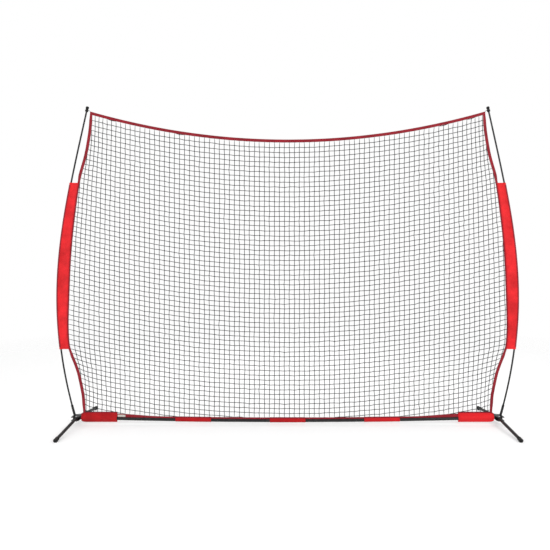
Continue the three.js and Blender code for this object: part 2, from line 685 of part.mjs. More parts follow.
// A wrap round the bar and the net's lower edge. End sleeves hang below the bar as a flap.
function baseSleeve(centre, { end = false } = {}) {
  const half = BASE_SLEEVE_LENGTH / 2;
  const count = 4;
  const stations = shares(count).map((share) => {
    const x = centre + lerp(-half, half, share);
    const height = barHeight(x);
    const under = BAR_RADIUS + 2 * GAP;
    const slotTop = bottomEdge(x) + GAP - height;
    const hole = mirrored(pocketOutline(0, under, slotTop));
    const top = end ? END_SLEEVE_TOP - height : slotTop + SLEEVE_WALL;
    const wrap = pocketOutline(SLEEVE_WALL, under + SLEEVE_WALL, top);
    const flapHalf = FLAP_THICKNESS / 2;
    const flap = [[flapHalf, END_SLEEVE_BOTTOM - height], [flapHalf, -under - SLEEVE_WALL]];
    const outline = mirrored(end ? [...flap, ...wrap.slice(1)] : wrap);
    return { outline, hole, place: (y, z) => [x, y, height + z] };
  });
  return { centre, stations };
}

const endSleeveAt = bracketStart - END_SLEEVE_CLEAR - BASE_SLEEVE_LENGTH / 2;
const baseSleeves = [
  baseSleeve(-endSleeveAt, { end: true }),
  ...INNER_SLEEVE_AT.map((x) => baseSleeve(x)),
  baseSleeve(endSleeveAt, { end: true }),
];

// The room that the mesh leaves over a base sleeve.
function clearance({ centre, stations }) {
  const reach = BASE_SLEEVE_LENGTH / 2 + GAP;
  const tops = stations.map(({ outline, place }) => Math.max(...outline.map(([y, z]) => place(y, z)[2])));
  return box(at(centre - reach, -BAR_RADIUS, 0), at(centre + reach, BAR_RADIUS, Math.max(...tops) + GAP));
}

// ---- Corner loops -----------------------------------------------------------------
const tipDirection = bow.getTangent(1);
const groove = poleTip.clone().addScaledVector(tipDirection, grooveMiddle);

// Elastic cord round the cap's groove, with both ends at the net's upper corner.
function cornerLoop() {
  const inboard = at(-tipDirection.z, 0, tipDirection.x);
  const ring = grooveRadius + GAP + LOOP_RADIUS;
  const edge = meshTopHalf + GAP + SIDE_TAPE;
  const end = at(edge + LOOP_RADIUS + GAP, LOOP_SPREAD, cornerHeight);
  const turns = [60, 90, 120, 150, 180].map(rad);
  const half = turns.map((a) =>
    groove.clone().addScaledVector(inboard, ring * Math.cos(a)).add(at(0, ring * Math.sin(a), 0)));
  const leave = half[0].clone().lerp(end, 0.5);
  const front = [end, leave, ...half];
  const rear = front.slice(0, -1).reverse().map((p) => at(p.x, -p.y, p.z));
  const path = new THREE.CatmullRomCurve3([...front, ...rear]);
  return sweep(path, { radius: LOOP_RADIUS, sides: 6, steps: 20 });
}

// ---- Assembly ---------------------------------------------------------------------
const part = new THREE.Group();

function add(parent, name, geometry, finish) {
  const [color, roughness, metalness] = FINISH[finish];
  const material = new THREE.MeshStandardMaterial({ color, roughness, metalness });
  const mesh = new THREE.Mesh(solid(geometry), material);
  mesh.name = name;
  parent.add(mesh);
  return mesh;
}

['left_outer', 'left_inner', 'right_inner', 'right_outer'].forEach((name, number) => {
  add(part, `base_bar_${name}`, barSection(number), 'powder');
});

['left', 'middle', 'right'].forEach((name, number) => {
  const x = buttonAt(barJoints[number]);
  add(part, `snap_button_${name}`, snapButton(), 'zinc').position.set(x, 0, barHeight(x));
  add(part, `snap_spring_${name}`, leafSpring(), 'zinc').position.set(x, 0, barHeight(x));
});

// Both ends of the frame are the same set of pieces, turned half a turn about Z.
for (const [side, turn, ends] of [['right', 0, ['rear', 'front']], ['left', Math.PI, ['front', 'rear']]]) {
  const group = new THREE.Group();
  group.rotation.z = turn;
  part.add(group);
  add(group, `corner_bracket_${side}`, bracket(), 'powder');
  add(group, `pole_socket_${side}`, socket(), 'powder');
  ['lower', 'middle', 'upper'].forEach((name, number) => {
    add(group, `pole_${name}_${side}`, poleSection(number), 'fibreglass');
  });
  ['lower', 'upper'].forEach((name, number) => {
    add(group, `ferrule_${name}_${side}`, ferrule(number + 1), 'zinc');
  });
  add(group, `shock_cord_${side}`, shockCord(), 'elastic');
  const cap = add(group, `tip_cap_${side}`, tipCap(), 'rubber');
  cap.position.copy(poleTip);
  cap.quaternion.setFromUnitVectors(at(0, 0, 1), tipDirection);
  add(group, `corner_loop_${side}`, cornerLoop(), 'elastic');
  add(group, `side_tape_${side}`, sideTape(), 'tape');
  add(group, `side_sleeve_${side}`, sideSleeve(), 'cloth');
  ends.forEach((end, number) => {
    const hinge = new THREE.Group();
    hinge.position.set(hingeAt, number ? -HINGE_OFFSET : HINGE_OFFSET, 0);
    hinge.rotation.z = number * Math.PI;
    group.add(hinge);
    add(hinge, `leg_${side}_${end}`, leg(), 'powder').position.z = barEndHeight;
    add(hinge, `foot_cap_${side}_${end}`, footCap(), 'rubber').position.z = barEndHeight;
    add(hinge, `hinge_bolt_${side}_${end}`, hingeBolt(), 'zinc');
    add(hinge, `lock_nut_${side}_${end}`, lockNut(), 'zinc');
  });
}

add(part, 'net', net(), 'twine');
add(part, 'top_tape', topTape(), 'tape');
add(part, 'bottom_tape', bottomTape(), 'tape');
baseSleeves.forEach(({ stations }, number) => {
  add(part, `base_sleeve_${number + 1}`, loft(stations), 'cloth');
});

export default part;
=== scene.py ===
"""Looks of a bow-framed pitching net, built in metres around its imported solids.

Laid out as an add-on: property groups hold the sizes and colours, one operator makes each
piece or group of like pieces, and a panel in the sidebar lists them.
"""

import json
import math

import bpy
import numpy as np
from bpy.props import FloatProperty, FloatVectorProperty, IntProperty, PointerProperty
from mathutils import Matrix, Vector


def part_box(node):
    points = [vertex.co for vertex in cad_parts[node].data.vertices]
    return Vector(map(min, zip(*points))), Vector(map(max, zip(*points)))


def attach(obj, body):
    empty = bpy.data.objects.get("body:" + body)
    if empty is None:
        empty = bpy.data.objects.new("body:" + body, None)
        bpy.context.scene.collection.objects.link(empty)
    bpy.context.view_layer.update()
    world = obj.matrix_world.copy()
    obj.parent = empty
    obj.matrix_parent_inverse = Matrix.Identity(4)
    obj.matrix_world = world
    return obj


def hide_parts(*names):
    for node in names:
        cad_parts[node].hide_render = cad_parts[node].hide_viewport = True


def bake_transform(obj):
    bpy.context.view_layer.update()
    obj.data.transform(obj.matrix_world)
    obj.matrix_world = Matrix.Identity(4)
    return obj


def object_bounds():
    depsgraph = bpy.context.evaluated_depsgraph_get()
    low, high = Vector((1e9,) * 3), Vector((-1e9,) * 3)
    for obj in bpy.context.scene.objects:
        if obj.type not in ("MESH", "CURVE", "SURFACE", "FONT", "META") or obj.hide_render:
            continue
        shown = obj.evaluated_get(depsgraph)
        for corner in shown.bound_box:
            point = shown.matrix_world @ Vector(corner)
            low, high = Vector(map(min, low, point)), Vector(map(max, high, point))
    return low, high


bl_info = {
    "name": "Pitching target net",
    "version": (1, 0, 0),
    "blender": (4, 5, 0),
    "location": "3D Viewport > Sidebar > Net",
    "description": "Makes the visible pieces of a bow-framed pitching net around its packed solids",
    "category": "Object",
}

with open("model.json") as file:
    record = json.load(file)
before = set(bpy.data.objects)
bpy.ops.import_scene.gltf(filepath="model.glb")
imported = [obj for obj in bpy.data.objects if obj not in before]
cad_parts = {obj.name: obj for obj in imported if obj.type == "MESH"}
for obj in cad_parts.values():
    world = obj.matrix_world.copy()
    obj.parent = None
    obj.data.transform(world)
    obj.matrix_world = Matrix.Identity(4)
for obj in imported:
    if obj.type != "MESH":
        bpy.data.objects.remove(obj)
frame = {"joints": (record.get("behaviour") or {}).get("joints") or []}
CAD_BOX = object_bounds()

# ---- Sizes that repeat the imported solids', in metres --------------------------------
GAP = 0.0003  # between pieces that touch
SLIP = 0.0004  # round a tube that slides in another
TURN = 0.0005  # between a leg and the plates that it turns in
HINGE = next(j for j in frame["joints"] if j["name"] == "leg_right_rear_fold")["pos_m"]
HINGE_INBOARD = 0.020
HINGE_OFFSET = HINGE[1]
BAR_END = HINGE[2]
FOOT_X = HINGE[0] + HINGE_INBOARD
FRAME_TOP = CAD_BOX[1][2]
SIDES = {"right": 1, "left": -1}

POLE_RADIUS = 0.007
POLE_BORE = POLE_RADIUS + SLIP  # of what slips over a pole
TIP_INSET = 0.102  # how far the tip stands inboard of the foot
FOOT_LEAN = math.radians(16.1)
TIP_LEAN = math.radians(12.6)
FOOT_BOW = 0.38  # length of the bow's lower handle, as a share of the height
TIP_BOW = 0.365  # length of its upper handle
POLE_SECTIONS = 3
FERRULE_WALL = 0.0013
FERRULE_LENGTH = 0.110
SOCKET_WALL = 0.0024
SOCKET_LENGTH = 0.112

CAP_ROOF = 0.015  # above the pole's tip
CAP_SKIRT = 0.031  # below it
CAP_RADIUS = 0.0135
CAP_BEVEL = 0.0035
CAP_WALL = 0.0026  # rubber round the pole in the groove
CAP_GROOVE_TOP = 0.005  # below the pole's tip
CAP_GROOVE_HEIGHT = 0.008
GROOVE_RADIUS = POLE_BORE + CAP_WALL
LOOP_RADIUS = 0.0015
LOOP_SPREAD = 0.002  # of each strand from the net's plane

BAR_RADIUS = 0.0127
TUBE_WALL = 0.0015
BAR_BORE = BAR_RADIUS - TUBE_WALL
BAR_MIDDLE = 0.032  # height of the centre line at mid-span
BAR_SAG = BAR_END - BAR_MIDDLE
BAR_JOINTS = (-FOOT_X / 2, 0.0, FOOT_X / 2)
SWAGE_LENGTH = 0.060  # of the reduced end that enters the next tube
SWAGE_NECK = 0.008
BUTTON_RADIUS = 0.0035
BUTTON_FLANGE_RADIUS = 0.005
BUTTON_FLANGE = 0.0012
LEAF = 0.0008  # thickness of the buttons' springs

PLATE = 0.003
PLATE_GAP = BAR_RADIUS + TURN
PLATES_TOP = BAR_END + PLATE_GAP + PLATE
PLATES_BOTTOM = BAR_END - PLATE_GAP - PLATE
BRACKET_INBOARD = 0.043
BRACKET_OUTBOARD = 0.024
BRACKET_CORNER = 0.014
WEB_OFFSET = 0.005  # web's inner face outboard of the pole's foot
HINGE_MARGIN = 0.016  # plate outside the bolt
PLATE_HALF = HINGE_OFFSET + HINGE_MARGIN
LEG_RADIUS = 0.0127
LEG_REACH = 0.457  # from the net's plane to the leg's tip
LEG_TIP = 0.015  # centre line above the floor
LEG_STUB = 0.015  # tube past the bolt, towards the bar
LEG_STRAIGHT = 0.024  # level stretch outside the bolt
LEG_BEND = 0.016  # length of the bend after it
FOOT_WALL = 0.003
FOOT_LENGTH = 0.045
FOOT_END = 0.004  # rubber past the leg's tip
SOLE_WIDTH = 0.022
SOLE_LENGTH = 0.034
BOLT_RADIUS = 0.004
BOLT_HEAD_RADIUS = 0.0075
BOLT_HEAD = 0.006
NUT = 0.008
BOLT_END = 0.002  # thread that shows below the nut

SIDE_TAPE = 0.019
BOTTOM_TAPE = 0.013  # over the middle of the bar
CORNER_TAPE = 0.029  # width of the bottom tape by the corners
TAPE_WIDENS = (1.080, 1.480)  # from the middle of the bar
NET_CORNER_DROP = 0.045  # net's upper corners below the caps' tops
CORNER_HEIGHT = FRAME_TOP - NET_CORNER_DROP
# Distance from the pole's centre line in to the net's edge, at shares of the height.
EDGE_INSETS = (
    (0.036, 0.078), (0.062, 0.096), (0.095, 0.111), (0.155, 0.112), (0.186, 0.100), (0.218, 0.078),
    (0.244, 0.061), (0.3, 0.064), (0.375, 0.077), (0.456, 0.082), (0.626, 0.070), (0.752, 0.056),
    (0.784, 0.057), (0.847, 0.069), (0.91, 0.062), (0.948, 0.050), (0.984, 0.030),
)
SIDE_SLEEVE = (0.649, 2.081)  # heights of its lower and upper ends
BASE_SLEEVE_LENGTH = 0.305
INNER_SLEEVES = (-0.812, 0.0, 0.812)
END_SLEEVE_CLEAR = 0.0115  # from the end sleeves to the brackets' plates
END_SLEEVE = FOOT_X - BRACKET_INBOARD - END_SLEEVE_CLEAR - BASE_SLEEVE_LENGTH / 2
END_SLEEVE_BOTTOM = 0.021
END_SLEEVE_TOP = 0.107

# ---- Sizes of the visible pieces alone, in metres -----------------------------------
TOP_TAPE = 0.025
TOP_SAG = 0.242
SIDE_SPREAD = 0.006  # added outward where no sleeve holds the side tapes
CORNER_LIFT = 0.032  # how far the low side tapes draw the netting up
TAPE_FOLD = 0.0014  # radius of a tape's fold
TAPE_MOUTH = 0.0029  # of a tape's free edges from the net's plane
LIP_CLEAR = 0.0018  # between a tape and the sleeve over it
PATCH = (0.066, 0.018)  # length and height
AXIS = 0.0003  # radius of the small ring that closes a turned end
RUBBER_AXIS = 0.0004  # the same on the moulded caps and boots
RIM = 0.0004  # how far the edge of a cut end is broken
CREST = 0.0011  # height over which a hex head's corners are turned off
THREAD_PITCH = 0.00125
THREAD_DEPTH = 0.0005
WASHER = (0.0014, 0.0088)  # thickness and radius
HEAD_SEAT = 0.0013  # of a bolt's head above its washer's seat
PLATE_BEAD = 0.0022  # radius of the weld between a bracket's plates and web
SOCKET_BEAD = 0.0019  # radius of the weld round a pole's socket
CAP_ROUNDING = 0.0036
BOOT_ROUNDING = 0.0016
GRIP_PITCH = 0.007  # from ring to ring round a boot
WRAP_CLEAR = 0.0016  # of a base sleeve round the bar
POUCH_CLEAR = 0.0030  # of an end sleeve round the bar
POCKET_CLEAR = 0.0022  # of a side sleeve round the ferrules
SHARP = 35  # in degrees: faces that meet at more than this are shaded apart
CAMERA_X = -0.046
CAMERA_SHIFT = (-0.0133, -0.0304)  # in shares of the picture's width


# ---- Sizes and colours that a user would change --------------------------------------
def length(name, description, default):
    return FloatProperty(
        name=name, description=description, default=default, min=0, unit="LENGTH", precision=4
    )


def power(name, description, default):
    return FloatProperty(name=name, description=description, default=default, unit="POWER")


def colour(name, description, default):
    return FloatVectorProperty(
        name=name, description=description, default=default, min=0, max=1, size=3, subtype="COLOR"
    )


class NetSizes(bpy.types.PropertyGroup):
    mesh: length("Mesh", "Distance between two knots of the netting", 0.0431)
    twine: length("Twine", "Thickness of the twine", 0.0054)
    knot: length("Knot", "Width of a knot", 0.0100)
    uneven: length("Unevenness", "How far a knot strays from its place", 0.0014)
    billow: length("Billow", "How far the netting strays from its plane", 0.006)
    row_sag: length("Sag of the lowest rows", "How much lower a low row is in the middle", 0.173)


class ClothSizes(bpy.types.PropertyGroup):
    cloth: length("Cloth", "Thickness of the sleeves' coated cloth", 0.0008)
    tape: length("Tape", "Thickness of the woven binding tape", 0.0011)
    wrinkle: length("Wrinkles", "Height of the sleeves' wrinkles", 0.0034)
    stitch: length("Stitch", "Length of one stitch", 0.0036)
    hem: length("Hem", "Depth of the sleeves' hems", 0.014)


class Finishes(bpy.types.PropertyGroup):
    powder: colour("Powder coat", "Steel tubes and plates", (0.007, 0.007, 0.0075))
    zinc: colour("Zinc", "Bolts, nuts, buttons and ferrules", (0.42, 0.43, 0.44))
    pole: colour("Poles", "Glass-fibre poles", (0.007, 0.0073, 0.008))
    rubber: colour("Rubber", "Caps and feet", (0.007, 0.007, 0.007))
    elastic: colour("Elastic", "Corner loops and shock cords", (0.014, 0.014, 0.015))
    twine: colour("Twine", "Netting", (0.018, 0.019, 0.020))
    tape: colour("Tape", "Binding round the net", (0.27, 0.010, 0.020))
    cloth: colour("Cloth", "Side sleeves", (0.74, 0.014, 0.019))
    # Deep cloth is the side sleeves' red painted in shade: the base sleeves are the same cloth, drawn darker
    # for the shade that they lie in.
    deep: colour("Deep cloth", "Base sleeves, which have faded less", (0.46, 0.003, 0.006))
    patch: colour("Patch", "Plain woven patch on the lower tape", (0.60, 0.57, 0.52))


class StageSettings(bpy.types.PropertyGroup):
    lens: FloatProperty(name="Lens", description="Focal length", default=34.7, unit="CAMERA")
    distance: length("Distance", "From the camera to the net's plane", 4.570)
    eye: length("Eye height", "Height of the camera", 1.431)
    floor: colour("Floor", "Plain pale floor", (0.62, 0.62, 0.62))
    glow: FloatProperty(
        name="Floor glow", description="Light that the floor gives off", default=0.36, min=0,
        max=1, subtype="FACTOR",
    )
    key: power("Key light", "Power of the main soft light", 250)
    fill: power("Fill light", "Power of the weaker soft light", 150)
    back: power("Back light", "Power of the light over the floor", 130)
    seed: IntProperty(name="Seed", description="Start of the random numbers", default=7)


# ---- Lines and lengths ----------------------------------------------------------------
def unit(vectors):
    return vectors / np.maximum(np.linalg.norm(vectors, axis=-1, keepdims=True), 1e-12)


def lengths(points, axis=0):
    """How far each point of a line or a grid lies along one of its axes."""
    steps = np.linalg.norm(np.diff(points, axis=axis), axis=-1)
    return np.insert(np.cumsum(steps, axis=axis), 0, 0, axis=axis)


def between(want, places, values):
    """Rows of values, drawn straight between the places that they are known at."""
    return np.stack([np.interp(want, places, column) for column in values.T], -1)


def smooth_between(want, places, values, slopes):
    """Values drawn smoothly between the places that they and their slopes are known at."""
    k = np.clip(np.searchsorted(places, want, side="right") - 1, 0, len(places) - 2)
    span = places[k + 1] - places[k]
    t = np.clip((want - places[k]) / span, 0, 1)
    leave, arrive = (t**3 - 2 * t**2 + t) * slopes[k], (t**3 - t**2) * slopes[k + 1]
    return values[k] + (3 * t**2 - 2 * t**3) * (values[k + 1] - values[k]) + (leave + arrive) * span


def smooth_line(points, count):
    """An evenly spaced smooth line through points."""
    places = lengths(points)
    want = np.linspace(0, places[-1], count)
    return np.stack([smooth_between(want, places, v, np.gradient(v, places)) for v in points.T], -1)


def bent(start, corner, end, steps):
    """Points of a bend that a corner draws towards itself."""
    shares = np.linspace(0, 1, steps + 1)
    return [(1 - t) ** 2 * start + 2 * t * (1 - t) * corner + t * t * end for t in shares]


def arc(radius, start, end, count):
    """Points of an arc round (0, 0) between two angles in degrees."""
    turn = np.radians(np.linspace(start, end, count))
    return np.column_stack([radius * np.cos(turn), radius * np.sin(turn)])


def circle(count):
    """The cosines and sines of evenly spaced angles, as columns."""
    turn = np.arange(count)[:, None] / count * 2 * math.pi
    return np.cos(turn), np.sin(turn)


def at_radius(stops, radius):
    return [(s, radius) for s in stops]


def bow_points(count):
    """Points of the right-hand pole's centre line, evenly spaced along it."""
    rise = FRAME_TOP - CAP_ROOF * math.cos(TIP_LEAN) - (CAP_RADIUS - CAP_BEVEL) * math.sin(TIP_LEAN)
    foot, tip = np.array([FOOT_X, 0, BAR_END]), np.array([FOOT_X - TIP_INSET, 0, rise])
    one = foot + FOOT_BOW * FRAME_TOP * np.array([math.sin(FOOT_LEAN), 0, math.cos(FOOT_LEAN)])
    two = tip + TIP_BOW * FRAME_TOP * np.array([math.sin(TIP_LEAN), 0, -math.cos(TIP_LEAN)])
    t = np.linspace(0, 1, 2001)[:, None]
    line = (1 - t) ** 3 * foot + 3 * (1 - t) ** 2 * t * one + 3 * (1 - t) * t**2 * two + t**3 * tip
    gone = lengths(line)
    return between(np.linspace(0, gone[-1], count), gone, line)


BOW = bow_points(1201)


# ---- Outlines that the solids follow --------------------------------------------------
def pole_at(z):
    return np.interp(z, BOW[:, 2], BOW[:, 0])


def edge_at(z):
    """Outer edge of the net's side tape at a height."""
    place, inset = np.array(EDGE_INSETS).T
    slope = np.gradient(inset, place)
    slope[1:-1] = (inset[2:] - inset[:-2]) / (place[2:] - place[:-2])
    return pole_at(z) - smooth_between(np.asarray(z, float) / FRAME_TOP, place, inset, slope)


CORNER_X = float(edge_at(CORNER_HEIGHT))


def smoothstep(x, low, high):
    t = np.clip((np.abs(x) - low) / (high - low), 0, 1)
    return t * t * (3 - 2 * t)


def bar_height(x):
    share = np.minimum(1, np.abs(x) / (FOOT_X - BRACKET_INBOARD))
    return BAR_MIDDLE + BAR_SAG * share**2


def bar_top(x):
    return bar_height(x) + BAR_RADIUS + GAP


def bottom_edge(x):
    return bar_top(x) + BOTTOM_TAPE + (CORNER_TAPE - BOTTOM_TAPE) * smoothstep(x, *TAPE_WIDENS)


def top_edge(x):
    return CORNER_HEIGHT - TOP_SAG * (1 - (np.asarray(x) / CORNER_X) ** 2)


# ---- Mesh making ----------------------------------------------------------------------
def make_object(name, points, faces, place, sharp=SHARP, edge=None):
    """A mesh piece with smooth shading, sharp where faces meet at more than an angle. place and
    edge give each face corner its lengths along and across, and its lengths to the nearest edges."""
    mesh = bpy.data.meshes.new(name)
    mesh.from_pydata(np.asarray(points).tolist(), [], [list(map(int, f)) for f in faces])
    for label, values in (("Place", place), ("Edge", edge)):
        if values is not None:
            layer = mesh.uv_layers.new(name=label)
            layer.data.foreach_set("uv", np.asarray(values, np.float32).ravel())
    mesh.validate(clean_customdata=False)
    mesh.shade_smooth()
    if sharp:
        mesh.set_sharp_from_angle(angle=math.radians(sharp))
    obj = bpy.data.objects.new(name, mesh)
    bpy.context.scene.collection.objects.link(obj)
    return obj


class Path:
    """A line through points, with a steady frame across it at any length along it."""

    def __init__(self, points):
        self.points = np.asarray(points, float)
        self.gone = lengths(self.points)
        self.length = self.gone[-1]
        runs = unit(np.diff(self.points, axis=0))
        self.runs = unit(np.vstack([runs[:1], runs[:-1] + runs[1:], runs[-1:]]))
        side = np.cross(self.runs[0], (0, 1, 0))
        if np.linalg.norm(side) < 0.5:
            side = np.cross(self.runs[0], (1, 0, 0))
        sides = [unit(side)]
        for run in self.runs[1:]:
            sides.append(unit(sides[-1] - run * sides[-1].dot(run)))
        self.sides = np.array(sides)

    def at(self, s):
        """Points, and first and second directions across, at lengths s."""
        point, run, side = (between(s, self.gone, v) for v in (self.points, self.runs, self.sides))
        run, side = unit(run), unit(side)
        beyond = np.minimum(s, 0) + np.maximum(s - self.length, 0)
        return point + run * beyond[:, None], side, unit(np.cross(run, side))


def fillet(profile, radius, closed=False, steps=4):
    """The profile with its corners rounded off."""
    profile = np.array(profile, float)
    out = []
    for k, corner in enumerate(profile):
        before, after = profile[k - 1] - corner, profile[(k + 1) % len(profile)] - corner
        reach = min(radius, np.linalg.norm(before) * 0.45, np.linalg.norm(after) * 0.45)
        if closed or 0 < k < len(profile) - 1:
            out += bent(corner + unit(before) * reach, corner, corner + unit(after) * reach, steps)
        else:
            out.append(corner)
    return np.array(out)


def ring_faces(rows, cols, along, around, closed=False, flip=False):
    """Faces between rings of points, and the lengths along and around at their corners."""
    r, c = np.indices((rows if closed else rows - 1, cols)).reshape(2, -1)
    corners = ((r, c), (r, c + 1), (r + 1, c + 1), (r + 1, c))
    if flip:
        corners = (corners[0], *corners[:0:-1])
    faces = np.stack([i % rows * cols + j % cols for i, j in corners], 1)
    return faces, np.stack([np.stack([along[i], around[j]], 1) for i, j in corners], 1).reshape(-1, 2)


def skin(name, points, along, around, closed=False, sharp=SHARP):
    """A body over rings of points. Unless its last ring meets its first, a face closes each end."""
    rows, cols = points.shape[:2]
    faces, uv = ring_faces(rows, cols, np.append(along, along[-1] * 2 - along[-2]), around, closed)
    faces = faces.tolist()
    if not closed:
        for row, turn in ((0, -1), (rows - 1, 1)):
            faces.append((row * cols + np.arange(cols))[::turn])
            flat = points[row] - points[row].mean(0)
            axes = np.linalg.svd(flat, full_matrices=False)[2][:2]
            uv = np.vstack([uv, (flat @ axes.T)[::turn]])
    return make_object(name, points.reshape(-1, 3), faces, uv, sharp)


def turned(name, path, profile, sides=32, closed=False):
    """A body turned round a path. The profile is (length along, radius) pairs. A closed one
    comes back to its start, and an open one has flat ends."""
    profile = np.asarray(profile, float)
    centre, side, over = path.at(profile[:, 0])
    cosine, sine = circle(sides)
    spread = cosine * side[:, None] + sine * over[:, None]
    around = 2 * math.pi * profile[:, 1].max() * np.arange(sides + 1) / sides
    return skin(name, centre[:, None] + spread * profile[:, 1, None, None], lengths(profile), around, closed)


def facing(grid):
    """The direction that a grid of points faces, at each of them."""
    return unit(np.cross(np.gradient(grid, axis=1), np.gradient(grid, axis=0)))


def sheet_mesh(name, grid, thickness, sharp=50):
    """A sheet over a grid of points, closed all round. Its thickness may change along it."""
    normal = -facing(grid)
    half = np.broadcast_to(thickness, len(grid))[:, None, None] / 2
    points = np.vstack([(grid + normal * half).reshape(-1, 3), (grid - normal * half).reshape(-1, 3)])
    off = len(points) // 2
    index = np.arange(off).reshape(grid.shape[:2])
    front = np.stack([index[:-1, :-1], index[1:, :-1], index[1:, 1:], index[:-1, 1:]], -1).reshape(-1, 4)
    faces = [front, front[:, ::-1] + off]
    for line in (index[0, ::-1], index[-1], index[:, 0], index[::-1, -1]):
        p, q = line[:-1], line[1:]
        faces.append(np.stack([p, p + off, q + off, q], -1))
    faces = np.vstack(faces)
    u, v = lengths(grid, 0), lengths(grid, 1)
    place = np.stack(np.broadcast_arrays(u.mean(1, keepdims=True), v.mean(0, keepdims=True)), -1)
    edge = np.stack([np.minimum(u, u[-1:] - u), np.minimum(v, v[:, -1:] - v)], -1)
    place, edge = (np.tile(layer.reshape(-1, 2), (2, 1))[faces].reshape(-1, 2) for layer in (place, edge))
    return make_object(name, points, faces, place, sharp, edge)


def slab(name, xs, ys, zs, radius, bevel=0.0006, steps=8, place=None):
    """A rectangular plate between pairs of x, y and z, with rounded corners and bevelled edges.
    place turns its points into the frame."""
    centres = [(xs[x] + (1 - 2 * x) * radius, ys[y] + (1 - 2 * y) * radius)
               for x, y in ((1, 1), (0, 1), (0, 0), (1, 0))]
    out = np.vstack([arc(radius, 90 * k, 90 * k + 90, steps + 1) + centres[k] for k in range(4)])
    edge = np.roll(out, -1, 0) - np.roll(out, 1, 0)
    outward = unit(np.stack([edge[:, 1], -edge[:, 0]], 1))
    low, high = zs
    points = np.array([np.insert(out - outward * inset, 2, height, axis=1) for height, inset in (
        (low, bevel), (low + bevel, 0), (high - bevel, 0), (high, bevel)
    )])
    along = np.array([0, bevel, high - low, high - low + bevel])
    around = lengths(np.vstack([out, out[:1]]))
    return skin(name, place(points) if place else points, along, around, sharp=30)


def hex_solid(name, centre, low, high):
    """A hexagonal head or nut whose upper corners are turned off."""
    steps = 5
    flat = between(np.arange(6 * steps) / steps, np.arange(7), arc(BOLT_HEAD_RADIUS, 0, 360, 7))
    limit = BOLT_HEAD_RADIUS * math.cos(math.pi / 6) * 0.97
    cut = flat * np.minimum(1, limit / np.linalg.norm(flat, axis=1))[:, None]
    rings = np.array([np.insert(ring + centre[:2], 2, height, axis=1) for height, ring in (
        (low, flat), (low + CREST, flat), (high - CREST, flat), (high, cut)
    )])
    around = np.arange(6 * steps + 1) / steps * BOLT_HEAD_RADIUS
    return skin(name, rings, np.array([0, 0.001, high - low, high - low + 0.001]), around, sharp=25)


def joined(name, *objects):
    """One piece from several meshes."""
    points, faces, uvs = [], [], []
    for obj in objects:
        start = len(points)
        points += [v.co[:] for v in obj.data.vertices]
        faces += [[start + k for k in face.vertices] for face in obj.data.polygons]
        uvs += [d.uv[:] for d in obj.data.uv_layers[0].data]
        bpy.data.objects.remove(obj)
    return make_object(name, points, faces, uvs)


def drilled(obj, start, end, radius):
    """Cuts a round hole through a piece from one point to another."""
    path = Path([start, end])
    outline = [(0, AXIS), (0, radius), (path.length, radius), (path.length, AXIS)]
    cutter = turned("drill", path, outline, 24)
    hole = obj.modifiers.new("Hole", "BOOLEAN")
    hole.object = cutter
    hole.solver = "EXACT"
    mesh = bpy.data.meshes.new_from_object(obj.evaluated_get(bpy.context.evaluated_depsgraph_get()))
    obj.modifiers.clear()
    bpy.data.objects.remove(cutter)
    mesh.set_sharp_from_angle(angle=math.radians(SHARP))
    obj.data = mesh


def weld(name, points, radius, seed):
    """A bead of weld with its ripples, along points."""
    path = Path(points)
    count = max(12, int(path.length / 0.0011))
    s = np.linspace(0, path.length, count)
    rng = np.random.default_rng(seed)
    ripple = 1 + 0.14 * np.sin(s / 0.0026 * 2 * math.pi) + rng.normal(0, 0.05, count)
    return turned(name, path, [(0, AXIS), *zip(s, radius * ripple), (path.length, AXIS)], 10)


def waves(u, v, seed, long=0.09, short=0.02, crease=0.0):
    """Folds over a sheet, from -1 to 1: many slanting waves of seeded length and phase, whose
    tops grow sharper with crease."""
    rng = np.random.default_rng(seed)
    total, weight = 0, 0
    for _ in range(9):
        size = rng.uniform(short, long)
        slant = rng.normal(0, 0.55)
        turn = 2 * math.pi * (u + slant * v) / size + rng.uniform(0, 2 * math.pi)
        total = total + size * ((1 - crease) * np.sin(turn) + crease * (1 - 2 * np.abs(np.sin(turn / 2))))
        weight += size
    return total / weight * 1.8


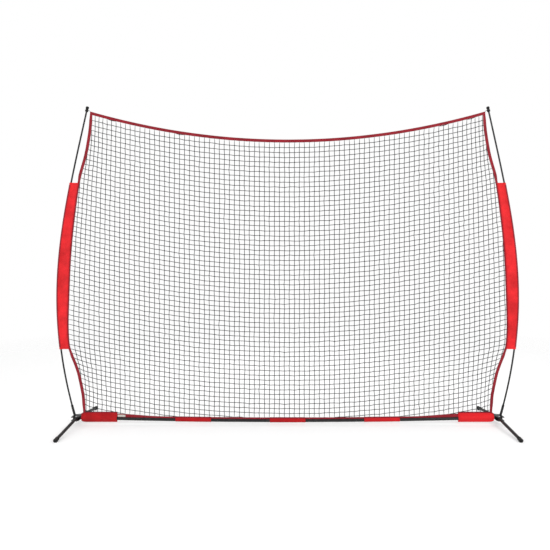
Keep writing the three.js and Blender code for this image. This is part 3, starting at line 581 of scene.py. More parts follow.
# ---- Shader node groups -----------------------------------------------------------------
class Nodes:
    """Short ways to add and link nodes in one tree."""

    def __init__(self, tree):
        self.tree = tree

    def fill(self, node, inputs):
        """Links or sets a node's inputs."""
        for key, value in inputs.items():
            if isinstance(value, bpy.types.NodeSocket):
                self.tree.links.new(value, node.inputs[key])
            else:
                node.inputs[key].default_value = value
        return node

    def add(self, kind, inputs=None, **settings):
        node = self.tree.nodes.new(kind)
        for key, value in settings.items():
            setattr(node, key, value)
        return self.fill(node, inputs or {})

    def math(self, operation, *values, clamp=False):
        node = self.add("ShaderNodeMath", dict(enumerate(values)), operation=operation, use_clamp=clamp)
        return node.outputs[0]

    def split(self, vector):
        return self.add("ShaderNodeSeparateXYZ", {"Vector": vector}).outputs

    def noise(self, vector, scale, detail=3.0, roughness=0.55):
        inputs = {"Vector": vector, "Scale": scale, "Detail": detail, "Roughness": roughness}
        return self.add("ShaderNodeTexNoise", inputs).outputs["Fac"]

    def span(self, value, low, high, to_low=0.0, to_high=1.0):
        inputs = {"Value": value, "From Min": low, "From Max": high, "To Min": to_low, "To Max": to_high}
        return self.add("ShaderNodeMapRange", inputs).outputs["Result"]

    def mix(self, factor, one, two, blend="MIX"):
        node = self.add("ShaderNodeMix", data_type="RGBA", blend_type=blend)
        return self.fill(node, {"Factor": factor, "A": one, "B": two}).outputs["Result"]

    def strand(self, place):
        """Round backs, one for each whole number."""
        return self.math("ABSOLUTE", self.math("SINE", self.math("MULTIPLY", place, math.pi)))

    def group(self, name, vector, **values):
        """The outputs of a shader node group, which is made when it is first asked for."""
        make, defaults = SHADER_GROUPS[name]
        tree = bpy.data.node_groups.get(name)
        if not tree:
            tree = bpy.data.node_groups.new(name, "ShaderNodeTree")
            tree.interface.new_socket("Vector", in_out="INPUT", socket_type="NodeSocketVector")
            for label, value in defaults.items():
                socket = tree.interface.new_socket(label, in_out="INPUT", socket_type="NodeSocketFloat")
                socket.default_value = value
            inside = Nodes(tree)
            results = make(inside, inside.add("NodeGroupInput").outputs)
            for label in results:
                tree.interface.new_socket(label, in_out="OUTPUT", socket_type="NodeSocketFloat")
            inside.add("NodeGroupOutput", results)
        return self.add("ShaderNodeGroup", {"Vector": vector, **values}, node_tree=tree).outputs


def weave(nodes, given):
    """Threads over and under each other. Vector is metres along and across the cloth."""
    place = nodes.split(given["Vector"])
    along = nodes.math("DIVIDE", place["X"], given["Thread"])
    slanted = nodes.math("MULTIPLY_ADD", place["X"], given["Slant"], place["Y"])
    across = nodes.math("DIVIDE", slanted, given["Thread"])
    cell = nodes.math("ADD", nodes.math("FLOOR", along), nodes.math("FLOOR", across))
    over = nodes.math("PINGPONG", cell, 1.0)
    top = nodes.math("MULTIPLY", over, nodes.strand(along))
    under = nodes.math("MULTIPLY", nodes.math("SUBTRACT", 1.0, over), nodes.strand(across))
    height = nodes.math("ADD", top, under)
    grain = nodes.span(nodes.noise(given["Vector"], 900.0, 2.0), 0.3, 0.7, 0.85, 1.15)
    # Painted shade: threads are darker where they dip under others. Grain is a random tone.
    lit = nodes.span(height, 0.15, 0.95, 0.5, 1.0)
    return {"Height": height, "Shade": nodes.math("MULTIPLY", lit, grain)}


def stitch_row(nodes, given):
    """A row of stitches along X, at a place across. Mask is 1 on the thread. Dent falls off beside it; the
    materials bump with Dent and also paint shade with it.
    """
    place = nodes.split(given["Vector"])
    share = nodes.math("FRACT", nodes.math("DIVIDE", place["X"], given["Stitch"]))
    from_middle = nodes.math("ABSOLUTE", nodes.math("SUBTRACT", share, 0.5))
    away = nodes.math("ABSOLUTE", nodes.math("SUBTRACT", place["Y"], given["Across"]))
    widths = nodes.math("DIVIDE", away, given["Thread"])
    mask = nodes.math("MULTIPLY", nodes.span(from_middle, 0.42, 0.36), nodes.span(widths, 0.6, 0.4))
    return {"Mask": mask, "Dent": nodes.span(widths, 0.0, 3.5, 1.0, 0.0)}


def strands(nodes, given):
    """Twisted or braided strands round a cord. X is metres along and Y metres round it."""
    place = nodes.split(given["Vector"])
    along = nodes.math("DIVIDE", place["X"], given["Lay"])
    turned_by = nodes.math("MULTIPLY", nodes.math("DIVIDE", place["Y"], given["Round"]), given["Count"])
    one, two = (nodes.strand(nodes.math(way, along, turned_by)) for way in ("ADD", "SUBTRACT"))
    height = nodes.math("MAXIMUM", one, nodes.math("MULTIPLY", two, 0.85))
    # Painted shade and highlight: darker in the grooves between the strands, lighter on their crests.
    return {"Height": height, "Shade": nodes.span(height, 0.2, 1.0, 0.55, 1.15)}


def wear(nodes, given):
    """Dust that has settled on upward faces, and scuffs in patches. Vector is the place in metres."""
    normal = nodes.add("ShaderNodeNewGeometry").outputs["Normal"]
    facing = nodes.span(nodes.split(normal)["Z"], 0.1, 1.0)
    patches = nodes.noise(given["Vector"], 34.0, 5.0, 0.6)
    speckle = nodes.noise(given["Vector"], 420.0, 2.0, 0.6)
    settled = nodes.math("MULTIPLY", facing, nodes.span(patches, 0.35, 0.75))
    streaks = nodes.math("MULTIPLY", nodes.span(patches, 0.52, 0.72), nodes.span(speckle, 0.5, 0.66))
    return {
        "Dust": nodes.math("MULTIPLY", settled, given["Dust"], clamp=True),
        "Scuffs": nodes.math("MULTIPLY", streaks, given["Scuffs"], clamp=True),
        "Patches": patches,
    }


SHADER_GROUPS = {
    "Weave": (weave, {"Thread": 0.0006, "Slant": 0.0}),
    "Stitch row": (stitch_row, {"Across": 0.003, "Stitch": 0.0036, "Thread": 0.0007}),
    "Strands": (strands, {"Lay": 0.006, "Round": 0.012, "Count": 3.0}),
    "Dust and scuffs": (wear, {"Dust": 0.3, "Scuffs": 0.3}),
}


# ---- Materials --------------------------------------------------------------------------
def tint(shade, factor=1.0, lift=0.0):
    """A colour with its alpha, made darker or lighter."""
    return (*[min(1, c * factor + lift) for c in shade[:3]], 1.0)


def start_material(name):
    """(tree helper, Principled BSDF, place in metres) of a new material."""
    material = bpy.data.materials.new(name)
    material.use_nodes = True
    nodes = Nodes(material.node_tree)
    return nodes, nodes.tree.nodes["Principled BSDF"], nodes.add("ShaderNodeTexCoord").outputs["Object"]


def bumped(nodes, height, distance, strength):
    inputs = {"Height": height, "Distance": distance, "Strength": strength}
    return nodes.add("ShaderNodeBump", inputs).outputs["Normal"]


def hard_finish(name, base, rough, dust, scuffs, gloss=0.25, metallic=0.0, coat=0.0,
                peel=0.00006, grain=700.0):
    """Coated, plated or moulded surface with its fine texture, dust and scuffs."""
    nodes, shader, place = start_material(name)
    marks = nodes.group("Dust and scuffs", place, Dust=dust, Scuffs=scuffs)
    shade = nodes.mix(nodes.span(marks["Patches"], 0.3, 0.7, 0.0, 0.35), tint(base), tint(base, 1.7))
    scuffed = nodes.mix(marks["Scuffs"], shade, (0.12, 0.12, 0.12, 1.0))
    roughness = nodes.span(marks["Patches"], 0.2, 0.8, rough - 0.08, rough + 0.1)
    nodes.fill(shader, {
        "Base Color": nodes.mix(marks["Dust"], scuffed, (0.30, 0.28, 0.26, 1.0)),
        "Roughness": nodes.math("MULTIPLY_ADD", marks["Dust"], 0.35, roughness, clamp=True),
        "Metallic": metallic,
        "Specular IOR Level": gloss,
        "Coat Weight": coat,
        "Coat Roughness": 0.2,
        "Normal": bumped(nodes, nodes.noise(place, grain, 2.0), peel, 0.6),
    })


def cloth_finish(name, base, thread, stitch, rough=0.6, sheen=0.05, seams=(), hems=(), slant=0.0,
                 bound=0.0, bound_colour=None, right_end=None, sewn=None):
    """Woven cloth with its threads, slight fading, and rows of stitches along its sides (seams)
    and its ends (hems). Sides may be bound with a tape of another colour, and a colour given for
    the right-hand end is what it turns to towards the net's right-hand end: painted light."""
    nodes, shader, place = start_material(name)
    along, edge = (nodes.add("ShaderNodeUVMap", uv_map=layer).outputs["UV"] for layer in ("Place", "Edge"))
    woven = nodes.group("Weave", along, Thread=thread, Slant=slant)
    patches = nodes.noise(place, 9.0, 4.0)
    dark, light = tint(base, 0.7), tint(base, 1.12, 0.006)
    toned = nodes.mix(nodes.span(patches, 0.3, 0.7), dark, light)
    # Painted light: the colour turns lighter towards the net's right-hand end, where more light falls.
    if right_end:
        toned = nodes.mix(nodes.span(nodes.split(place)["X"], 0.2, 1.7), toned, tint(right_end))
    height = woven["Height"]
    along, edge = nodes.split(along), nodes.split(edge)
    if bound:
        on_tape = nodes.span(edge["Y"], bound + 0.0002, bound - 0.0002)
        toned = nodes.mix(on_tape, toned, tint(bound_colour))
        height = nodes.math("MULTIPLY_ADD", on_tape, 5.0, height)
    # The weave's painted shade, with its grain, darkens the cloth's colour.
    shaded = nodes.mix(0.6, toned, woven["Shade"], blend="MULTIPLY")
    for rows, x, y in ((seams, along["X"], edge["Y"]), (hems, along["Y"], edge["X"])):
        for across in rows:
            vector = nodes.add("ShaderNodeCombineXYZ", {"X": x, "Y": y}).outputs[0]
            row = nodes.group("Stitch row", vector, Across=across, Stitch=stitch)
            # Painted shade: the cloth's colour is darkened in the dent beside each row of stitches.
            seam_shaded = nodes.mix(nodes.math("MULTIPLY", row["Dent"], 0.45), shaded, dark)
            shaded = nodes.mix(row["Mask"], seam_shaded, sewn or light)
            height = nodes.math("ADD", nodes.math("MULTIPLY_ADD", row["Dent"], -5.0, height),
                                nodes.math("MULTIPLY", row["Mask"], 6.0))
    nodes.fill(shader, {
        "Base Color": shaded,
        "Roughness": nodes.span(patches, 0.3, 0.7, rough - 0.05, rough + 0.07),
        "Specular IOR Level": 0.14,
        "Sheen Weight": sheen,
        "Sheen Roughness": 0.5,
        "Normal": bumped(nodes, height, 0.00015, 0.7),
    })


def cord_finish(name, base, lay, girth, count, depth):
    """Twisted twine or braided elastic."""
    nodes, shader, place = start_material(name)
    along = nodes.add("ShaderNodeUVMap", uv_map="Place").outputs["UV"]
    threads = nodes.group("Strands", along, Lay=lay, Round=girth, Count=count)
    patches = nodes.noise(place, 14.0, 3.0)
    toned = nodes.mix(nodes.span(patches, 0.3, 0.7), tint(base, 0.7), tint(base, 1.6))
    nodes.fill(shader, {
        # The strands' painted shade and highlight multiply the cord's colour.
        "Base Color": nodes.mix(0.8, toned, threads["Shade"], blend="MULTIPLY"),
        "Roughness": nodes.span(patches, 0.3, 0.7, 0.79, 0.93),
        "Normal": bumped(nodes, threads["Height"], depth, 0.8),
    })


def finish(look):
    """The material of a slot, or of another look that it has, made when it is first asked for."""
    name = f"finish_{look}"
    if name in bpy.data.materials:
        return bpy.data.materials[name]
    scene = bpy.context.scene
    paint, cloth, girth = scene.net_finishes, scene.net_cloth, math.pi * scene.net_sizes.twine
    red = {"thread": 0.00055, "stitch": cloth.stitch, "hems": (cloth.hem - 0.002,)}
    maker, base, values = {
        "powder_black": (hard_finish, paint.powder, dict(rough=0.44, dust=0.06, scuffs=0.35, gloss=0.28)),
        "zinc_steel": (hard_finish, paint.zinc, dict(
            rough=0.34, dust=0.15, scuffs=0.4, gloss=0.5, metallic=1.0, grain=1500.0)),
        "pole_black": (hard_finish, paint.pole, dict(
            rough=0.3, dust=0.06, scuffs=0.3, coat=0.1, peel=0.00003)),
        "rubber_black": (hard_finish, paint.rubber, dict(
            rough=0.72, dust=0.2, scuffs=0.25, peel=0.0001, grain=420.0)),
        "elastic_black": (cord_finish, paint.elastic, dict(
            lay=0.0022, girth=0.0094, count=6.0, depth=0.0002)),
        "twine_black": (cord_finish, paint.twine, dict(lay=0.0065, girth=girth, count=3.0, depth=0.0003)),
        "tape_crimson": (cloth_finish, paint.tape, dict(
            thread=0.0011, stitch=cloth.stitch, rough=0.78, sheen=0.15, seams=(0.0035,), slant=0.6,
            sewn=(0.46, 0.05, 0.07, 1.0))),
        "cloth_red": (cloth_finish, paint.cloth, dict(
            seams=(0.0035, 0.0075), sewn=(0.30, 0.008, 0.016, 1.0), **red)),
        # The base sleeves: their red is painted in shade, and it turns to the side sleeves' red towards the
        # net's right-hand end as painted light.
        "cloth_deep": (cloth_finish, paint.deep, dict(
            seams=(0.0065,), sewn=(0.22, 0.005, 0.010, 1.0), bound=0.009, bound_colour=paint.tape,
            right_end=paint.cloth, **red)),
        "patch_pale": (cloth_finish, paint.patch, dict(
            thread=0.0004, stitch=0.0024, sheen=0.1, seams=(0.0016,), hems=(0.0016,))),
    }[look]
    maker(name, base, **values)
    return bpy.data.materials[name]


def dress(obj, slot, *nodes, body="frame", side="right", look=None):
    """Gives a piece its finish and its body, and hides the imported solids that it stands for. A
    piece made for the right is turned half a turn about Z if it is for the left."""
    if SIDES[side] < 0:
        for v in obj.data.vertices:
            v.co.x, v.co.y = -v.co.x, -v.co.y
    obj.data.materials.clear()
    obj.data.materials.append(finish(look or slot))
    if body:
        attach(obj, body)
    if nodes:
        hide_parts(*nodes)


# ---- Operators: one for each piece or group of like pieces ----------------------------------
class NET_OT_stage(bpy.types.Operator):
    """Floor, soft light and the camera at the photograph's angle"""

    bl_idname = "net.stage"
    bl_label = "Stage"

    def execute(self, context):
        setting = context.scene.net_stage
        camera = bpy.data.cameras.new("Camera")
        camera.lens, camera.sensor_width = setting.lens, 36
        camera.shift_x, camera.shift_y = CAMERA_SHIFT
        camera.clip_start, camera.clip_end = 0.05, 100
        eye = self.placed(camera, (CAMERA_X, -setting.distance, setting.eye))
        eye.rotation_euler = (math.pi / 2, 0, 0)
        context.scene.camera = eye
        self.floor(setting)
        self.world(context.scene)
        for name, power, size, place, aim in (
            ("Key", setting.key, 4.0, (4.4, -5.0, 4.4), (0.4, 0, 1.2)),
            ("Fill", setting.fill, 5.0, (-4.8, -4.4, 3.0), (0, 0, 1.4)),
            ("Back", setting.back, 6.0, (0, 3.4, 5.6), (0, 3.0, 0)),
        ):
            lamp = bpy.data.lights.new(name, "AREA")
            lamp.energy, lamp.shape, lamp.size = power, "DISK", size
            turn = (Vector(aim) - Vector(place)).to_track_quat("-Z", "Y")
            self.placed(lamp, place).rotation_euler = turn.to_euler()
        context.scene.view_settings.view_transform = "Standard"
        return {"FINISHED"}

    def placed(self, data, place):
        obj = bpy.data.objects.new(data.name, data)
        obj.location = place
        bpy.context.scene.collection.objects.link(obj)
        return obj

    def floor(self, setting):
        """A wide pale floor whose far parts fade out."""
        half, thick, fade = 30.0, 0.02, (2.4, 7.0)
        floor = slab("floor", (-half, half), (-half, half), (-thick, 0.0), 1.0, 0.001)
        nodes, shader, place = start_material("floor")
        tone = nodes.span(nodes.noise(place, 1.5, 3.0), 0.3, 0.7)
        reach = nodes.add("ShaderNodeVectorMath", {0: place}, operation="LENGTH").outputs["Value"]
        nodes.fill(shader, {
            "Base Color": nodes.mix(tone, tint(setting.floor), tint(setting.floor, 0.985)),
            "Alpha": nodes.span(reach, *fade, 1.0, 0.0),
            "Roughness": 0.9,
            "Specular IOR Level": 0.1,
            "Emission Color": (1, 1, 1, 1),
            "Emission Strength": setting.glow,
        })
        floor.data.materials.append(bpy.data.materials["floor"])

    def world(self, scene):
        """A white surround that lights the net less than it shows."""
        scene.world = bpy.data.worlds.new("Studio")
        scene.world.use_nodes = True
        nodes = Nodes(scene.world.node_tree)
        white = (1, 1, 1, 1)
        seen = nodes.fill(nodes.tree.nodes["Background"], {"Color": white})
        light = nodes.add("ShaderNodeBackground", {"Color": white, "Strength": 0.72})
        by_camera = nodes.add("ShaderNodeLightPath").outputs["Is Camera Ray"]
        mixer = nodes.add("ShaderNodeMixShader", {0: by_camera, 1: light.outputs[0], 2: seen.outputs[0]})
        nodes.fill(nodes.tree.nodes["World Output"], {"Surface": mixer.outputs[0]})


class NET_OT_elastic(bpy.types.Operator):
    """Elastic loops from the caps' grooves to the net's upper corners, and the poles' shock cords"""

    bl_idname = "net.elastic"
    bl_label = "Elastic loops and cords"

    def execute(self, context):
        run = unit(BOW[-1] - BOW[-2])
        inboard = np.array([-run[2], 0, run[0]])
        groove = BOW[-1] - run * (CAP_GROOVE_TOP + CAP_GROOVE_HEIGHT / 2)
        ring = GROOVE_RADIUS + GAP + LOOP_RADIUS
        corner = (float(edge_at(CORNER_HEIGHT - TOP_TAPE)) - 0.006, LOOP_SPREAD, CORNER_HEIGHT - 0.004)
        half = [groove + inboard * c + (0, s, 0) for c, s in arc(ring, 60, 180, 13)]
        front = [corner + (half[0] - corner) * share for share in (0.0, 0.35, 0.7)] + half
        loop, cord = Path(front + [p * (1, -1, 1) for p in front[-2::-1]]), Path(BOW[30:-2:12])
        far, rim, end = loop.length, LOOP_RADIUS * 0.8, 0.002
        body = [(0, AXIS), (0, rim), (RIM, LOOP_RADIUS),
                *at_radius(np.linspace(end, far - end, 90), LOOP_RADIUS),
                (far - RIM, LOOP_RADIUS), (far, rim), (far, AXIS)]
        line = at_radius(np.linspace(0, cord.length, 90), LOOP_RADIUS)
        for side in SIDES:
            for name, node, path, profile, sides in (
                ("elastic_loop", "corner_loop", loop, body, 12), ("shock_line", "shock_cord", cord, line, 10)
            ):
                piece = turned(f"{name}_{side}", path, profile, sides)
                dress(piece, "elastic_black", f"{node}_{side}", side=side)
        return {"FINISHED"}


class NET_OT_poles(bpy.types.Operator):
    """The bent glass-fibre poles in three sections, their ferrules and sockets"""

    bl_idname = "net.poles"
    bl_label = "Poles"

    def execute(self, context):
        bow = Path(BOW[::4])
        floor = PLATES_TOP + GAP
        start = float(np.interp(floor, BOW[:, 2], np.linspace(0, bow.length, len(BOW))))
        section = bow.length / POLE_SECTIONS
        rim = 0.0006
        for side in SIDES:
            for number, name in enumerate(("lower", "middle", "upper")):
                low = number * section + GAP / 2 if number else start + POLE_RADIUS * math.sin(FOOT_LEAN)
                high = (number + 1) * section - (GAP / 2 if number + 1 < POLE_SECTIONS else 0)
                body = [(low, AXIS), (low, POLE_RADIUS - rim), (low + rim, POLE_RADIUS),
                        *at_radius(np.linspace(low, high, 48)[1:-1], POLE_RADIUS),
                        (high - rim, POLE_RADIUS), (high, POLE_RADIUS - rim), (high, AXIS)]
                pole = turned(f"pole_{side}_{name}", bow, body, 24)
                dress(pole, "pole_black", f"pole_{name}_{side}", side=side)
            for number, name in enumerate(("lower", "upper")):
                joint = (number + 1) * section
                stops = np.linspace(joint - FERRULE_LENGTH / 2, joint + FERRULE_LENGTH / 2, 8)
                ring = at_radius(stops, POLE_BORE + FERRULE_WALL) + at_radius(stops[::-1], POLE_BORE)
                sleeve = turned(f"joint_sleeve_{side}_{name}", bow, ring, 28, closed=True)
                dress(sleeve, "zinc_steel", f"ferrule_{name}_{side}", side=side)
            outer = POLE_BORE + SOCKET_WALL
            stops = np.linspace(start + outer * math.sin(FOOT_LEAN), SOCKET_LENGTH - 0.001, 8)
            lip = [(SOCKET_LENGTH - RIM, outer), (SOCKET_LENGTH, outer - rim),
                   (SOCKET_LENGTH, POLE_BORE + rim), (SOCKET_LENGTH - RIM, POLE_BORE)]
            ring = at_radius(stops, outer) + lip + at_radius(stops[::-1], POLE_BORE)
            socket = turned(f"socket_{side}", bow, ring, 32, closed=True)
            self.settle(socket, floor)
            dress(socket, "powder_black", f"pole_socket_{side}", side=side)
        return {"FINISHED"}

    def settle(self, obj, floor):
        """Brings the lowest ring of a leaning tube down onto a level floor."""
        reach, drop = 0.012, 0.004
        for v in obj.data.vertices:
            if v.co.z < floor + reach:
                v.co.z = max(floor, v.co.z - (floor + reach - v.co.z) / reach * drop)


class NET_OT_caps(bpy.types.Operator):
    """Rubber caps on the poles' tips, with a groove for the corner loops"""

    bl_idname = "net.caps"
    bl_label = "Tip caps"

    def execute(self, context):
        tip, run = BOW[-1], unit(BOW[-1] - BOW[-2])
        path = Path([tip - run * CAP_SKIRT, tip + run * CAP_ROOF])
        base, roof = CAP_SKIRT, CAP_SKIRT + CAP_ROOF
        groove = base - CAP_GROOVE_TOP
        low = groove - CAP_GROOVE_HEIGHT
        bore = POLE_RADIUS + SLIP / 2
        outline = [
            (base - 0.002, RUBBER_AXIS), (base - 0.002, bore), (0.0, bore), (0.0, CAP_RADIUS - 0.001),
            (0.004, CAP_RADIUS), (low - 0.004, CAP_RADIUS), (low, GROOVE_RADIUS), (groove, GROOVE_RADIUS),
            (groove + 0.003, CAP_RADIUS), (roof - 0.004, CAP_RADIUS - 0.0005), (roof, CAP_RADIUS - 0.006),
            (roof, RUBBER_AXIS),
        ]
        for side in SIDES:
            cap = turned(f"rubber_cap_{side}", path, fillet(outline, CAP_ROUNDING, steps=5), 40)
            dress(cap, "rubber_black", f"tip_cap_{side}", side=side)
        return {"FINISHED"}


class NET_OT_base_bar(bpy.types.Operator):
    """The base bar's four swaged tubes, with their snap buttons and springs"""

    bl_idname = "net.base_bar"
    bl_label = "Base bar"

    def execute(self, context):
        end = FOOT_X + WEB_OFFSET - GAP
        for number, name in enumerate(("left_outer", "left_inner", "right_inner", "right_outer")):
            swaged = number < len(BAR_JOINTS)
            low = BAR_JOINTS[number - 1] + GAP if number else -end
            high = BAR_JOINTS[number] if swaged else end
            xs = np.linspace(low, high + SWAGE_LENGTH * swaged, 40)
            path = Path(np.column_stack([xs, np.zeros_like(xs), bar_height(xs)]))
            tube = turned(f"bar_{name}", path, self.section(high - low, swaged), 32, closed=True)
            for joint in BAR_JOINTS[max(0, number - 1):number + 1]:
                x = joint + SWAGE_LENGTH / 2
                hole = [(x, y, bar_height(x)) for y in (0, 2 * BAR_RADIUS)]
                drilled(tube, *hole, BUTTON_RADIUS + 2 * GAP)
            dress(tube, "powder_black", f"base_bar_{name}")
        for name, joint in zip(("left", "middle", "right"), BAR_JOINTS):
            self.spring(name)
            self.button(name, joint + SWAGE_LENGTH / 2)
        return {"FINISHED"}

    def section(self, reach, swaged):
        """Profile of a bar's tube: its outside, its end, which may be swaged, and its bore."""
        stops = np.linspace(0, reach, 26)
        outer = at_radius(stops[1:-1], BAR_RADIUS)
        swage = BAR_BORE - GAP
        if swaged:
            outer += [(reach - SWAGE_NECK * 0.6, BAR_RADIUS), (reach - SWAGE_NECK * 0.35, BAR_RADIUS - RIM),
                      (reach - SWAGE_NECK * 0.12, swage + 0.0005), (reach, swage),
                      (reach + SWAGE_LENGTH, swage), (reach + SWAGE_LENGTH, swage - TUBE_WALL),
                      (reach - SWAGE_NECK, swage - TUBE_WALL), (reach - 2 * SWAGE_NECK, BAR_BORE)]
        else:
            outer += [(reach - 0.0005, BAR_RADIUS), (reach, BAR_RADIUS - RIM), (reach, BAR_BORE)]
        back = at_radius([s for s in stops[::-1] if 0 < s < reach - 3 * SWAGE_NECK], BAR_BORE)
        return outer + back + [(0.0, BAR_BORE), (0.0, BAR_RADIUS - RIM), (0.0005, BAR_RADIUS)]

    def button(self, name, x):
        """A round-nosed button with a collar inside the bar."""
        low, high = (p.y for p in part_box(f"snap_button_{name}"))
        path = Path([(x, low, bar_height(x)), (x, high, bar_height(x))])
        tall = high - low
        outline = [(0.0, AXIS), (0.0, BUTTON_FLANGE_RADIUS), (BUTTON_FLANGE, BUTTON_FLANGE_RADIUS),
                   (BUTTON_FLANGE, BUTTON_RADIUS), (tall - 0.0012, BUTTON_RADIUS),
                   (tall - 0.0004, 0.0026), (tall, 0.0012), (tall, AXIS)]
        button = turned(f"button_{name}", path, fillet(outline, 0.0005, steps=3), 28)
        dress(button, "zinc_steel", f"snap_button_{name}", body=f"snap_button_{name}")

    def spring(self, name):
        """A bent leaf whose outer arm follows the button and whose inner arm stays in the bar."""
        low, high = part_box(f"snap_spring_{name}")
        middle, bend = (low.y + high.y) / 2, (high.y - low.y) / 2
        arm, turn = bend - LEAF / 2, np.radians(np.linspace(90, -90, 17))
        end = high.x - bend
        out = np.linspace(low.x, end, 9)
        x = np.r_[out[:-1], end + arm * np.cos(turn), out[-2::-1]]
        y = middle + np.r_[np.full(8, arm), arm * np.sin(turn), np.full(8, -arm)]
        z = np.linspace(low.z + 0.0002, high.z - 0.0002, 5)
        grid = np.stack(np.broadcast_arrays(x[:, None], y[:, None], z[None]), -1)
        leaf = sheet_mesh(f"leaf_spring_{name}", grid, LEAF, 40)
        dress(leaf, "zinc_steel", f"snap_spring_{name}", body=None)
        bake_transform(leaf)


class NET_OT_brackets(bpy.types.Operator):
    """Two-plate corner brackets, welded to a web, with the socket's weld on top"""

    bl_idname = "net.brackets"
    bl_label = "Corner brackets"

    def execute(self, context):
        across = (FOOT_X - BRACKET_INBOARD, FOOT_X + BRACKET_OUTBOARD)
        top, bottom = PLATES_TOP - PLATE, PLATES_BOTTOM + PLATE
        web_x = FOOT_X + WEB_OFFSET
        half = PLATE_HALF - BRACKET_CORNER
        bead_x = web_x + 0.0026 + PLATE / 2
        bead_ys = np.linspace(-half + 0.004, half - 0.004, 12)
        foot_x, lean = float(pole_at(PLATES_TOP)), 1.03
        ring = [(foot_x + x * lean, y, PLATES_TOP + 0.0008)
                for x, y in arc(POLE_BORE + SOCKET_WALL + 0.0006, 0, 352, 46)]
        for side in SIDES:
            plates = [slab("plate", across, (-PLATE_HALF, PLATE_HALF), zs, BRACKET_CORNER, steps=12)
                      for zs in ((top, PLATES_TOP), (PLATES_BOTTOM, bottom))]
            web = slab("web", (web_x, web_x + PLATE), (-half, half), (bottom - PLATE / 2, top + PLATE / 2),
                       0.0006, 0.0003, 2)
            beads = [weld("bead", [(bead_x, y, z) for y in bead_ys], PLATE_BEAD, 10)
                     for z in (top - 0.0004, bottom + 0.0004)]
            bracket = joined(f"bracket_{side}", *plates, web, *beads)
            dress(bracket, "powder_black", f"corner_bracket_{side}", side=side)
            dress(weld(f"socket_weld_{side}", ring, SOCKET_BEAD, 3), "powder_black", side=side)
        return {"FINISHED"}


